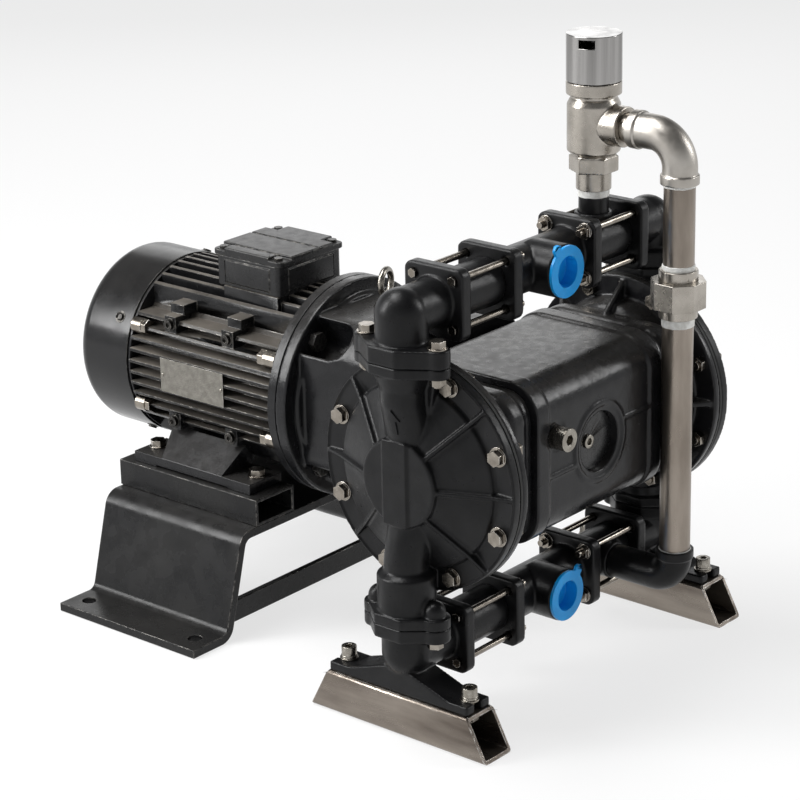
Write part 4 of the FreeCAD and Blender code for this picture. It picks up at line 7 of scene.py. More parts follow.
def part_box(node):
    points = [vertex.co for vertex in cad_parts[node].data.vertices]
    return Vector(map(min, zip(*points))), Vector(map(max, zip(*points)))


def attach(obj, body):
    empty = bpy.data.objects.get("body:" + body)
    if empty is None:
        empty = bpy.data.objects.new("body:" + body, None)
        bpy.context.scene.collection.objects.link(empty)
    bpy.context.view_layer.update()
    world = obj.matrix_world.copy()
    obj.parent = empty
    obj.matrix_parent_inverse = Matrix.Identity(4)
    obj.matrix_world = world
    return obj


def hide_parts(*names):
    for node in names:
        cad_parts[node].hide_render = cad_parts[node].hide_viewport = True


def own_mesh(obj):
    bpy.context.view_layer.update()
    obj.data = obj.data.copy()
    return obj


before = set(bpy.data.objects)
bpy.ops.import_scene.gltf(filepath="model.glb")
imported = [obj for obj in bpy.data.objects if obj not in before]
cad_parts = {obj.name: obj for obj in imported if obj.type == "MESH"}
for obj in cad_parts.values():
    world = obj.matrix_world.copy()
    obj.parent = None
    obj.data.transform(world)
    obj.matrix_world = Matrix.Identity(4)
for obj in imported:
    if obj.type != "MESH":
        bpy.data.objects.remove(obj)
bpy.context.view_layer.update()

# Camera: stands in front and to the left of the pump, a little above it, with a long lens,
# and leans by about a degree, as the view in the photo does.
azimuth, elevation, lean = (math.radians(a) for a in (49.52, 19.06, -1.18))
pump_forward = 0.179163
eye = Vector((-1.7345, -1.3347 - pump_forward, 1.0301))
look_back = Vector((-math.sin(azimuth) * math.cos(elevation),
                    -math.cos(azimuth) * math.cos(elevation), math.sin(elevation)))
level = Vector((math.cos(azimuth), -math.sin(azimuth), 0))
above = look_back.cross(level)
camera_right = math.cos(lean) * level + math.sin(lean) * above
camera_up = math.cos(lean) * above - math.sin(lean) * level
camera = bpy.data.objects.new("camera", bpy.data.cameras.new("camera"))
camera.matrix_world = Matrix((camera_right, camera_up, look_back)).transposed().to_4x4()
camera.location = eye
camera.data.lens = 123.16
camera.data.shift_y = -0.04365
camera.data.clip_end = 200
bpy.context.scene.collection.objects.link(camera)
bpy.context.scene.camera = camera
bpy.context.scene.view_settings.view_transform = "Standard"


# Floor and light: a white studio floor that runs to the horizon, a soft box overhead, one at
# each side and a plain room, pale at its walls. Camera and reflections see the floor as white.
def step(tree, kind, inputs=None, **settings):
    """One node, with its settings and its inputs, which are numbers, colours or sockets."""
    made = tree.nodes.new(kind)
    for key, value in settings.items():
        setattr(made, key, value)
    for key, value in (inputs or {}).items():
        if isinstance(value, bpy.types.NodeSocket):
            tree.links.new(value, made.inputs[key])
        else:
            made.inputs[key].default_value = value
    return made


def seen_directly(tree):
    """1 where the camera, a mirror or a clear piece looks at the surface, and else 0."""
    path = step(tree, "ShaderNodeLightPath")
    either = step(tree, "ShaderNodeMath", {0: path.outputs["Is Camera Ray"],
                                           1: path.outputs["Is Glossy Ray"]}, operation="MAXIMUM")
    return step(tree, "ShaderNodeMath", {0: either.outputs[0],
                                         1: path.outputs["Is Transmission Ray"]},
                operation="MAXIMUM").outputs[0]


floor_mesh = bpy.data.meshes.new("floor")
floor_shape = bmesh.new()
bmesh.ops.create_circle(floor_shape, cap_ends=True, radius=60, segments=64)
floor_shape.to_mesh(floor_mesh)
floor_shape.free()
floor = bpy.data.objects.new("floor", floor_mesh)
floor.location.z = -0.0005
bpy.context.scene.collection.objects.link(floor)
white_floor = bpy.data.materials.new("white floor")
white_floor.use_nodes = True
floor_tree = white_floor.node_tree
floor_tree.nodes.clear()
floor_grey, most_glow = 0.86, 0.72
floor_paint = step(floor_tree, "ShaderNodeBsdfDiffuse",
                   {"Color": (floor_grey, floor_grey, floor_grey, 1)})
floor_glow = step(floor_tree, "ShaderNodeEmission", {"Color": (1, 1, 1, 1), "Strength": 1.0})
glow_share = step(floor_tree, "ShaderNodeMath", {0: seen_directly(floor_tree), 1: most_glow},
                  operation="MULTIPLY")
floor_mix = step(floor_tree, "ShaderNodeMixShader",
                 {0: glow_share.outputs[0], 1: floor_paint.outputs[0], 2: floor_glow.outputs[0]})
step(floor_tree, "ShaderNodeOutputMaterial", {"Surface": floor_mix.outputs[0]})
floor_mesh.materials.append(white_floor)

room = bpy.data.worlds.new("studio room")
bpy.context.scene.world = room
room.use_nodes = True
room_tree = room.node_tree
room_tree.nodes.clear()
room_height = step(room_tree, "ShaderNodeSeparateXYZ", {
    0: step(room_tree, "ShaderNodeTexCoord").outputs["Generated"]}).outputs["Z"]
wall_foot, wall_top, wall_light, ceiling_light = 0.04, 0.6, 0.9, 0.14
room_fade = step(room_tree, "ShaderNodeMapRange", {0: room_height, 1: wall_foot, 2: wall_top,
                                                   3: wall_light, 4: ceiling_light})
room_light = step(room_tree, "ShaderNodeBackground",
                  {"Color": (0.98, 0.99, 1, 1), "Strength": room_fade.outputs[0]})
step(room_tree, "ShaderNodeOutputWorld", {"Surface": room_light.outputs[0]})

lit_middle = Vector((0, -0.05, 0.25))
for lamp_name, spot, wide, tall, power in (
        ("soft box above", (-0.3, 0.5, 2.0), 1.1, 0.7, 30),
        ("soft box left", (-1.8, 1.65, 1.55), 0.9, 1.9, 72),
        ("soft box right", (1.9, -1.8, 1.5), 0.5, 1.3, 22),
        ("panel behind", (1.7, 1.5, 1.1), 1.5, 1.0, 6)):
    lamp = bpy.data.lights.new(lamp_name, "AREA")
    lamp.shape, lamp.size, lamp.size_y, lamp.energy = "RECTANGLE", wide, tall, power
    lamp_object = bpy.data.objects.new(lamp_name, lamp)
    lamp_object.location = spot
    lamp_object.visible_camera = False
    toward = lit_middle - Vector(spot)
    lamp_object.rotation_euler = toward.to_track_quat("-Z", "Y").to_euler()
    bpy.context.scene.collection.objects.link(lamp_object)


# Foot tubes: two lengths of bare rectangular stainless tube with mitred open ends. The mill
# leaves soft corners, a brown heat tint and fine drawing lines along each tube.
def mixed(tree, share, first, second):
    """A colour between two others, each a colour or a socket: the Mix node's 0, 6 and 7."""
    mix = tree.nodes.new("ShaderNodeMix")
    mix.data_type = "RGBA"
    for place, value in ((0, share), (6, first), (7, second)):
        if isinstance(value, bpy.types.NodeSocket):
            tree.links.new(value, mix.inputs[place])
        else:
            mix.inputs[place].default_value = value if place == 0 else (*value, 1)
    return mix.outputs[2]


def spread(tree, value, low, high, to_low=0.0, to_high=1.0):
    """The value between low and high, laid out again between two other numbers."""
    return step(tree, "ShaderNodeMapRange", {0: value, 1: low, 2: high, 3: to_low, 4: to_high},
                clamp=True).outputs[0]


def speckle(tree, scale, detail=3.0, stretch=(1, 1, 1), seed=0.0):
    """Grain fixed to the piece: a noise of so many spots per metre, drawn out along an axis."""
    spot = step(tree, "ShaderNodeTexCoord").outputs["Object"]
    laid = step(tree, "ShaderNodeMapping", {"Vector": spot, "Scale": stretch,
                                            "Location": (seed, seed, seed)})
    return step(tree, "ShaderNodeTexNoise", {"Vector": laid.outputs[0], "Scale": scale,
                                             "Detail": detail}).outputs[0]


def surface(name, colour, second, rough, metallic=0.0, patch=30.0, grain=900.0, depth=0.04,
            stretch=(1, 1, 1), worn=None, worn_width=0.0012, worn_from=0.02, worn_to=0.12,
            dust=None, dust_share=0.6, specular=0.5, swell=0.0, swell_size=95.0):
    """A finish: two tones in patches, uneven gloss, grain, swell, worn edges, settled dust."""
    material = bpy.data.materials.new(name)
    material.use_nodes = True
    tree = material.node_tree
    shader = tree.nodes["Principled BSDF"]
    patches = spread(tree, speckle(tree, patch, detail=5.0, stretch=stretch), 0.35, 0.65)
    tone = mixed(tree, patches, colour, second)
    gloss_patch = patch * 3.1
    smears = speckle(tree, gloss_patch, detail=4.0, stretch=stretch, seed=7.0)
    gloss = spread(tree, smears, 0.3, 0.7, *rough)
    if worn is not None:
        soft = step(tree, "ShaderNodeBevel", {"Radius": worn_width}, samples=4).outputs[0]
        sharp = step(tree, "ShaderNodeNewGeometry").outputs["Normal"]
        turn = step(tree, "ShaderNodeVectorMath", {0: soft, 1: sharp}, operation="DOT_PRODUCT")
        edge = spread(tree, turn.outputs["Value"], 1.0 - worn_from, 1.0 - worn_to)
        rubbed_spots = speckle(tree, 160.0, detail=6.0, seed=3.0)
        rub = spread(tree, rubbed_spots, 0.42, 0.6)
        shine = step(tree, "ShaderNodeMath", {0: edge, 1: rub}, operation="MULTIPLY").outputs[0]
        tone = mixed(tree, shine, tone, worn)
        if metallic < 0.5:
            tree.links.new(shine, shader.inputs["Metallic"])
    if dust is not None:
        up = step(tree, "ShaderNodeSeparateXYZ",
                  {0: step(tree, "ShaderNodeNewGeometry").outputs["Normal"]}).outputs["Z"]
        lies = spread(tree, up, 0.35, 0.95, to_low=0.0, to_high=dust_share)
        clouds = speckle(tree, 24.0, detail=7.0, seed=11.0)
        thin = spread(tree, clouds, 0.3, 0.66, to_low=0.45, to_high=1.0)
        cover = step(tree, "ShaderNodeMath", {0: lies, 1: thin}, operation="MULTIPLY").outputs[0]
        tone = mixed(tree, cover, tone, dust)
        dulled_by = 0.35
        dull = step(tree, "ShaderNodeMath", {0: cover, 1: dulled_by, 2: gloss},
                    operation="MULTIPLY_ADD")
        gloss = dull.outputs[0]
    tree.links.new(tone, shader.inputs["Base Color"])
    tree.links.new(gloss, shader.inputs["Roughness"])
    if worn is None or metallic >= 0.5:
        shader.inputs["Metallic"].default_value = metallic
    shader.inputs["Specular IOR Level"].default_value = specular
    grains = speckle(tree, grain, detail=3.0, stretch=stretch, seed=5.0)
    fine = {"Height": grains, "Strength": depth, "Distance": 0.001}
    if swell:
        waves = speckle(tree, swell_size, detail=4.0, seed=9.0)
        broad = step(tree, "ShaderNodeBump",
                     {"Height": waves, "Strength": swell, "Distance": 0.006})
        fine["Normal"] = broad.outputs[0]
    bump = step(tree, "ShaderNodeBump", fine)
    tree.links.new(bump.outputs[0], shader.inputs["Normal"])
    return material


def merged(node):
    """The solids of a CAD node as one shape, its loose triangles joined."""
    shape = bmesh.new()
    shape.from_mesh(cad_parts[node].data)
    bmesh.ops.remove_doubles(shape, verts=shape.verts, dist=1e-6)
    return shape


crease = math.radians(35)


def piece(name, shape, material, body="frame", stands_for=()):
    """An object of this shape that rides on a body and takes the place of some CAD nodes."""
    mesh = bpy.data.meshes.new(name)
    shape.to_mesh(mesh)
    shape.free()
    mesh.materials.append(material)
    for polygon in mesh.polygons:
        polygon.use_smooth = True
    mesh.set_sharp_from_angle(angle=crease)
    obj = bpy.data.objects.new(name, mesh)
    bpy.context.scene.collection.objects.link(obj)
    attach(obj, body)
    if stands_for:
        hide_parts(*stands_for)
    return obj


def soften(obj, width=0.0006, segments=2):
    """Break a machined piece's edges with a small round."""
    bevel = obj.modifiers.new("broken edges", "BEVEL")
    bevel.width, bevel.segments = width, segments
    bevel.limit_method, bevel.angle_limit = "ANGLE", crease
    bevel.use_clamp_overlap = False
    bevel.harden_normals = True
    return obj


def flatten(shape):
    """Join the small triangles of flat faces into whole ones."""
    flat_within = math.radians(0.5)
    bmesh.ops.dissolve_limit(shape, angle_limit=flat_within, verts=shape.verts,
                             edges=shape.edges, delimit={"NORMAL"})
    bmesh.ops.connect_verts_concave(shape, faces=shape.faces)
    return shape


tube_steel = surface("foot tube steel", (0.085, 0.068, 0.056), (0.33, 0.29, 0.25), (0.22, 0.38),
                     metallic=0.88, patch=17, grain=600, depth=0.10, stretch=(1, 0.3, 1.6),
                     worn=(0.62, 0.6, 0.57), worn_width=0.0016, worn_from=0.005,
                     worn_to=0.06, swell=0.2, swell_size=40.0)
tubes = flatten(merged("foot_tubes"))
tube_middle, near_enough, long_edge, nearly_along = 0.168, 0.0012, 0.08, 0.99
outer_corner, inner_corner = (0.0174, 0.0032), (0.0140, 0.0012)
for half_wide, reach in (outer_corner, inner_corner):
    corners = [edge for edge in tubes.edges
               if abs((edge.verts[0].co - edge.verts[1].co).normalized().y) > nearly_along
               and edge.calc_length() > long_edge
               and abs(abs(abs(edge.verts[0].co.x) - tube_middle) - half_wide) < near_enough]
    bmesh.ops.bevel(tubes, geom=corners, offset=reach, segments=4, profile=0.5, affect="EDGES",
                    material=-1)
soften(piece("foot_tubes_drawn", tubes, tube_steel,
             stands_for=["foot_tubes"]), 0.0004, 2)


# Foot screws: socket screws of bright zinc with spring and flat washers. They go through
# the elbows' foot plates into nuts inside the tubes.
def edged(name, node, material, width=0.0006, segments=2, body="frame"):
    """A made piece in place of a CAD node: its flat faces whole and its edges broken."""
    shape = flatten(merged(node))
    return soften(piece(name, shape, material, body, [node]), width, segments)


zinc = surface("bright zinc", (0.34, 0.32, 0.285), (0.24, 0.22, 0.19), (0.2, 0.34),
               metallic=1.0, patch=300, grain=2500, depth=0.1)
edged("foot_screws", "foot_bolting", zinc, 0.0004)


# Suction elbows: sand castings with a foot plate below, a square clamp flange to the side and
# an oval flange on top, sprayed satin black.
def finished(obj):
    """The piece's mesh with its modifiers worked in."""
    bpy.context.view_layer.update()
    shaped = obj.evaluated_get(bpy.context.evaluated_depsgraph_get())
    mesh = bpy.data.meshes.new_from_object(shaped)
    obj.modifiers.clear()
    obj.data = mesh
    return obj


def cast(name, material, node, scoop=None, voxel=0.0012, rounds=4):
    """A casting: its solids, scooped out where asked, grown into one skin with soft edges."""
    obj = piece(name, merged(node), material, stands_for=[node])
    if scoop is not None:
        cutter = bpy.data.objects.new("scoop", bpy.data.meshes.new("scoop"))
        scoop.to_mesh(cutter.data)
        scoop.free()
        bpy.context.scene.collection.objects.link(cutter)
        carve = obj.modifiers.new("scooped out", "BOOLEAN")
        carve.operation, carve.object, carve.solver = "DIFFERENCE", cutter, "EXACT"
        finished(obj)
        bpy.data.objects.remove(cutter)
    skin = obj.modifiers.new("skin", "REMESH")
    skin.mode, skin.voxel_size, skin.use_smooth_shade = "VOXEL", voxel, True
    soft = obj.modifiers.new("soft edges", "SMOOTH")
    soft.factor, soft.iterations = 0.5, rounds
    thin = obj.modifiers.new("fewer faces", "DECIMATE")
    kept_share = 0.45
    thin.ratio = kept_share
    return finished(obj)


satin_black = surface("satin black casting", (0.0045, 0.0045, 0.005), (0.009, 0.009, 0.0095),
                      (0.27, 0.38), patch=45, grain=1400, depth=0.10, specular=0.2,
                      swell=0.05)
cast("suction_elbows_cast", satin_black, "suction_elbows")


# Chamber covers: ribbed domes with a flat disc, leaning necks and a bolted rim, cast and
# sprayed satin black.
near_cover = cast("near_cover_cast", satin_black, "chamber_cover_near",
                  voxel=0.0011)
cast("far_cover_cast", satin_black, "chamber_cover_far", voxel=0.0011)


# Valve balls and their seats: polished stainless balls that lift inside the cages of the
# elbows and covers, each above a turned seat ring.
def dress(node, material):
    """A CAD node that keeps its own shape gets its finish."""
    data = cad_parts[node].data
    data.materials.clear()
    data.materials.append(material)


ball_steel = surface("polished stainless", (0.6, 0.6, 0.6), (0.5, 0.5, 0.5), (0.1, 0.2),
                     metallic=1.0, patch=200, grain=2500, depth=0.02)
for node in ("ball_suction_near", "ball_suction_far", "ball_discharge_near",
             "ball_discharge_far", "valve_seats"):
    dress(node, ball_steel)


# Discharge elbows: smooth cast bends with a square clamp flange and an oval flange, bolted to
# the tops of the chamber covers and sprayed satin black.
cast("discharge_elbows_cast", satin_black, "discharge_elbows")


# Rim, foot and tie bolts: bright steel hexagon screws with washers and nuts. The ones in the
# motor flange are painted over with the housing.
bolt_steel = surface("bolt steel", (0.31, 0.282, 0.245), (0.2, 0.178, 0.152), (0.18, 0.28),
                     metallic=1.0, patch=110, grain=2200, depth=0.03,
                     worn=(0.70, 0.68, 0.65), worn_width=0.0006, worn_from=0.005,
                     worn_to=0.06)
painted_bolt = surface("painted bolt", (0.02, 0.019, 0.018), (0.034, 0.032, 0.03), (0.22, 0.34),
                       patch=110, grain=1800, depth=0.05, specular=0.3,
                       worn=(0.3, 0.28, 0.25), worn_width=0.0006, worn_from=0.01, worn_to=0.08)
for name, node, finish in (("hex_bolts_made", "hex_bolts", bolt_steel),
                           ("flange_bolts_made", "flange_bolts", painted_bolt),
                           ("motor_foot_bolts_made", "motor_foot_bolts", bolt_steel),
                           ("tie_bolts_made", "tie_bolts", bolt_steel)):
    edged(name, node, finish, 0.0004)


# Inner chambers: the waisted dishes behind the diaphragms, cast in one with their gussets and
# painted gloss black.
gloss_black = surface("gloss black paint", (0.007, 0.007, 0.008), (0.013, 0.013, 0.014),
                      (0.14, 0.28), patch=38, grain=700, depth=0.10, specular=0.24,
                      dust=(0.085, 0.08, 0.072), dust_share=0.3, swell=0.07, swell_size=60)
cast("inner_chambers_cast", gloss_black, "inner_chambers", voxel=0.0013)


# Diaphragms and yoke: moulded rubber discs clamped between cover and dish, with steel plates
# at their middle on the two rods of the yoke, which slide in bronze bushes.
rubber = surface("moulded rubber", (0.014, 0.014, 0.014), (0.022, 0.022, 0.021), (0.5, 0.65),
                 patch=80, grain=1800, depth=0.1, specular=0.3)
machined = surface("machined steel", (0.46, 0.46, 0.46), (0.38, 0.38, 0.38), (0.22, 0.34),
                   metallic=1.0, patch=120, grain=1600, depth=0.06, stretch=(1, 1, 0.2))
bronze = surface("bearing bronze", (0.55, 0.38, 0.16), (0.45, 0.3, 0.12), (0.25, 0.4),
                 metallic=1.0, patch=120, grain=1600, depth=0.05)
dress("diaphragms", rubber)
dress("rod_bushes", bronze)
dress("diaphragm_plates", machined)
dress("yoke_rod", machined)


# Crank and gears: the crank shaft with its cam and roller, the output gear, the countershaft
# and the bearings, all of machined steel and hidden in the castings.
for node in ("crank_shaft", "crank_roller", "output_gear", "counter_gear", "bearings"):
    dress(node, machined)


# Crank case: a box casting between the two chambers, with its raised end bands, ribs and
# bearing window, painted gloss black over a rough skin.
cast("crank_case_cast", gloss_black, "crank_case", voxel=0.0013)


# Case plugs: the bright filler plug and the small plug of the window, turned and zinc plated,
# and the black disc that closes the window.
def at_pump(x, y, z):
    """A point given in millimetres from the middle of the pump."""
    return Vector((x / 1000, y / 1000 - pump_forward, z / 1000))


plugs = edged("case_plugs_turned", "case_plugs", zinc, 0.0005)
window_black = surface("window disc black", (0.006, 0.006, 0.0065), (0.010, 0.010, 0.0105),
                       (0.2, 0.32), patch=90, grain=1500, depth=0.06, specular=0.4)
plugs.data.materials.append(window_black)
window_edge = at_pump(-35, -65.3, 0)
for polygon in plugs.data.polygons:
    if polygon.center.x > window_edge.x and polygon.center.y > window_edge.y:
        polygon.material_index = 1


# Gear housing: a cast bell between crank case and motor, painted gloss black and dusty on
# top. At each of the four flange bolts it is scooped out, open to the corner.
motor_axis, flange_bolt, slant = 212.5, 58.3, 0.72
four_corners = ((-1, -1), (-1, 1), (1, -1), (1, 1))
scoop_deep, to_middle, to_end = 0.032, Vector((0, 0.177, 0)), Vector((0, 0.161, 0))
scoops = bmesh.new()
for side, rise in four_corners:
    hull = bmesh.new()
    for reach, radius in ((2, 0.0165), (34, 0.021)):
        outward = flange_bolt + reach * slant
        spot = at_pump(side * outward, 0, motor_axis + rise * outward)
        bmesh.ops.create_uvsphere(hull, u_segments=32, v_segments=16, radius=radius,
                                  matrix=Matrix.Translation(spot + to_end))
        bmesh.ops.create_cone(hull, cap_ends=True, segments=48, radius1=radius, radius2=radius,
                              depth=scoop_deep, matrix=Matrix.Translation(spot + to_middle)
                              @ Matrix.Rotation(math.pi / 2, 4, "X"))
    wrapped = bmesh.ops.convex_hull(hull, input=hull.verts)
    inside = {item for item in wrapped["geom_interior"] + wrapped["geom_unused"]
              if isinstance(item, bmesh.types.BMVert) and item.is_valid}
    bmesh.ops.delete(hull, geom=list(inside), context="VERTS")
    shell = {face for face in wrapped["geom"] if isinstance(face, bmesh.types.BMFace)
             and face.is_valid}
    bmesh.ops.delete(hull, geom=[face for face in hull.faces if face not in shell],
                     context="FACES")
    bmesh.ops.recalc_face_normals(hull, faces=hull.faces)
    made = bpy.data.meshes.new("scoop")
    hull.to_mesh(made)
    hull.free()
    scoops.from_mesh(made)
    bpy.data.meshes.remove(made)
cast("gear_housing_cast", gloss_black, "gear_housing", scoop=scoops,
     voxel=0.0014)


# Eye bolt: a drop-forged lifting eye of bright zinc, screwed into the top of the gear
# housing by its collar.
soften(piece("eye_bolt_forged", merged("eye_bolt"), zinc,
             stands_for=["eye_bolt"]), 0.0005)


# Rotor and stator: stacks of electrical sheet, the rotor's pressed on a ground shaft and the
# stator's shrunk into the motor frame. Both are hidden in the motor.
core_sheet = surface("electrical sheet", (0.3, 0.29, 0.28), (0.22, 0.21, 0.2), (0.35, 0.5),
                     metallic=1.0, patch=60, grain=2000, depth=0.2, stretch=(0.05, 1, 0.05))
dress("rotor_shaft", machined)
dress("rotor_core", core_sheet)
dress("stator_core", core_sheet)


# Motor housing, end shields and feet: a die-cast frame with cooling fins and lugs, gloss
# black, with grey-brown dust on the fins and paint rubbed thin along their edges. The two
# shields close its ends, and the feet are screwed on below.
motor_black = surface("motor enamel", (0.006, 0.006, 0.0065), (0.010, 0.010, 0.0105),
                      (0.16, 0.28), patch=60, grain=1100, depth=0.08, specular=0.24,
                      worn=(0.2, 0.19, 0.175), worn_width=0.0012, worn_from=0.004,
                      worn_to=0.05, dust=(0.19, 0.17, 0.145), dust_share=0.6)
for name, node, finish in (("motor_housing_cast", "motor_housing", motor_black),
                           ("front_shield_cast", "front_shield", gloss_black),
                           ("rear_shield_cast", "rear_shield", gloss_black),
                           ("motor_feet_cast", "motor_feet", gloss_black)):
    edged(name, node, finish)


# Fan and its cover: a moulded fan behind a pressed steel cover with a grille of slots. The
# cover keeps its triangles, because one whole face round all the slots bevels badly.
cover_black = surface("fan cover enamel", (0.006, 0.006, 0.0065), (0.009, 0.009, 0.0095),
                      (0.14, 0.22), patch=26, grain=700, depth=0.03, specular=0.3,
                      worn=(0.12, 0.115, 0.105), worn_width=0.001, worn_from=0.006,
                      worn_to=0.07, dust=(0.09, 0.085, 0.078), dust_share=0.16)
fan_plastic = surface("fan plastic", (0.03, 0.03, 0.031), (0.04, 0.04, 0.041), (0.42, 0.55),
                      patch=60, grain=1500, depth=0.08, specular=0.4)
dress("fan", fan_plastic)
soften(piece("fan_cover_pressed", merged("fan_cover"), cover_black,
             stands_for=["fan_cover"]), 0.0005)


# Terminal box and its lid: die-cast aluminium, painted semi-gloss grey-black, with framed
# sides, screwed on top of the motor frame.
box_black = surface("terminal box enamel", (0.010, 0.010, 0.0105), (0.016, 0.016, 0.0165),
                    (0.22, 0.34), patch=40, grain=1300, depth=0.12, specular=0.26,
                    worn=(0.14, 0.135, 0.125), worn_width=0.0012, worn_from=0.004,
                    worn_to=0.05, dust=(0.08, 0.077, 0.072), dust_share=0.3)
for name, node in (("terminal_box_cast", "terminal_box"), ("terminal_lid_cast", "terminal_lid")):
    edged(name, node, box_black, 0.001, 3)


# Motor screws: socket screws of the lugs and the lid, of blackened steel that is rubbed
# bright along its rims.
black_oxide = surface("black oxide", (0.03, 0.029, 0.028), (0.06, 0.057, 0.053), (0.26, 0.42),
                      metallic=1.0, patch=300, grain=2200, depth=0.1,
                      worn=(0.36, 0.34, 0.31), worn_width=0.0006, worn_from=0.005,
                      worn_to=0.06)
edged("motor_screws_made", "motor_screws", black_oxide, 0.0003)


# Bracket, support tubes and cross bar: bent plate and welded rectangular tube, black paint
# over mill scale, scuffed on top and bare along the edges.
plate_black = surface("scuffed plate paint", (0.006, 0.006, 0.0065), (0.013, 0.0128, 0.0125),
                      (0.18, 0.36), patch=17, grain=700, depth=0.10, specular=0.22,
                      worn=(0.30, 0.285, 0.265), worn_width=0.0011, worn_from=0.005,
                      worn_to=0.07, dust=(0.07, 0.067, 0.062), dust_share=0.16, swell=0.05,
                      swell_size=60.0)
for name, node, width in (("support_tubes_welded", "support_tubes", 0.0008),
                          ("cross_bar_cut", "cross_bar", 0.0008),
                          ("motor_bracket_bent", "motor_bracket", 0.0007)):
    edged(name, node, plate_black, width, 3)


# Spools and tees of the two manifolds: square-flanged castings in satin black, clamped
# between the elbows by long tie bolts.
cast("spools_cast", satin_black, "spools")
cast("tees_cast", satin_black, "tees")


# Port caps: blue transport caps of soft plastic, moulded with a pull tab and pushed into the
# ports of the tees. Each pulls out of its port.
cap_blue = surface("blue cap plastic", (0.004, 0.28, 0.70), (0.005, 0.32, 0.77), (0.3, 0.4),
                   patch=60, grain=1500, depth=0.04, specular=0.35)
for name, node, body in (("port_cap_upper_moulded", "port_cap_upper", "upper_plug"),
                         ("port_cap_lower_moulded", "port_cap_lower", "lower_plug")):
    edged(name, node, cap_blue, segments=3, body=body)


# Riser and relief valve: a black nipple, a sleeve with a hexagon, the cast body with its
# adjusting cap of polished chrome, poppet and spring.
nickel = surface("satin cast nickel", (0.42, 0.39, 0.35), (0.32, 0.296, 0.262), (0.24, 0.34),
                 metallic=1.0, patch=55, grain=1500, depth=0.06)
# The chrome's second tone, a dark grey drawn out in tall vertical streaks, is painted reflection:
# dark bands that stand for the studio mirrored in the cap.
chrome = surface("chrome with painted reflection bands", (0.52, 0.51, 0.50), (0.10, 0.096, 0.092), (0.09, 0.2),
                 metallic=1.0, patch=46, grain=2600, depth=0.01, stretch=(1, 1, 0.03))
fine_voxel = 0.0008
cast("riser_nipple_cast", satin_black, "riser_nipple", voxel=fine_voxel)
edged("inlet_sleeve_turned", "inlet_sleeve", nickel)
cast("relief_body_cast", nickel, "relief_body", voxel=fine_voxel, rounds=3)
edged("relief_cap_turned", "relief_cap", chrome, 0.0007, 3, "adjuster")
dress("relief_poppet", machined)
spring = piece("relief_spring_wound", merged("relief_spring"), machined,
               stands_for=["relief_spring"])
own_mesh(spring)


# Bypass: a turned nipple, a polished elbow, two pickled steel pipes with a union between
# them and a black elbow below, all screwed together.
pipe_brown = surface("pickled pipe", (0.30, 0.262, 0.225), (0.21, 0.18, 0.152), (0.26, 0.4),
                     metallic=1.0, patch=60, grain=900, depth=0.08, stretch=(1, 1, 0.22))
elbow_bright = surface("polished elbow", (0.46, 0.435, 0.40), (0.38, 0.355, 0.322),
                       (0.33, 0.43), metallic=1.0, patch=55, grain=1200, depth=0.05)
for name, node in (("outlet_nipple_turned", "outlet_nipple"),
                   ("union_ends_cast", "union_ends"), ("union_nut_cast", "union_nut")):
    edged(name, node, nickel)
cast("bypass_elbow_top_cast", elbow_bright, "bypass_elbow_top", voxel=0.0007,
     rounds=3)
edged("bypass_pipes_drawn", "bypass_pipes", pipe_brown, 0.0005)
cast("bypass_elbow_bottom_cast", satin_black, "bypass_elbow_bottom",
     voxel=fine_voxel)


# Flow arrow: a plain raised arrow that points up the near discharge neck, cast with the
# cover in one piece.
def laid_on(shape, target, way, proud):
    """A flat shape becomes a thin body that stands proud of a piece and ends just inside it."""
    clear, sunk = 0.05, 0.0008
    front = list(shape.verts)
    grown = bmesh.ops.extrude_face_region(shape, geom=shape.faces[:])
    back = [vertex for vertex in grown["geom"] if isinstance(vertex, bmesh.types.BMVert)]
    for group, push in ((front, -proud), (back, sunk)):
        for vertex in group:
            spot = target.ray_cast(vertex.co - way * clear, way)[1]
            vertex.co = spot + way * push
    bmesh.ops.recalc_face_normals(shape, faces=shape.faces)
    return shape


def flat_patch(corners, cuts):
    """A flat piece between its corners, cut fine enough to follow a round surface."""
    shape = bmesh.new()
    shape.faces.new([shape.verts.new(corner) for corner in corners])
    bmesh.ops.subdivide_edges(shape, edges=shape.edges[:], cuts=cuts, use_grid_fill=True)
    return shape


bpy.context.view_layer.update()
into_cover = Vector((1, 0, 0))
arrow_middle, before_cover = -2.5, -190
for name, corners in (
        ("arrow_shaft", ((-2.4, 264.5), (-2.4, 277), (2.4, 277), (2.4, 264.5))),
        ("arrow_head", ((-6.2, 276.5), (0, 286.5), (6.2, 276.5)))):
    patch = flat_patch([at_pump(before_cover, arrow_middle + y, z) for y, z in corners], 4)
    arrow = laid_on(patch, near_cover, into_cover, proud=0.0015)
    soften(piece(name, arrow, satin_black), 0.00015)


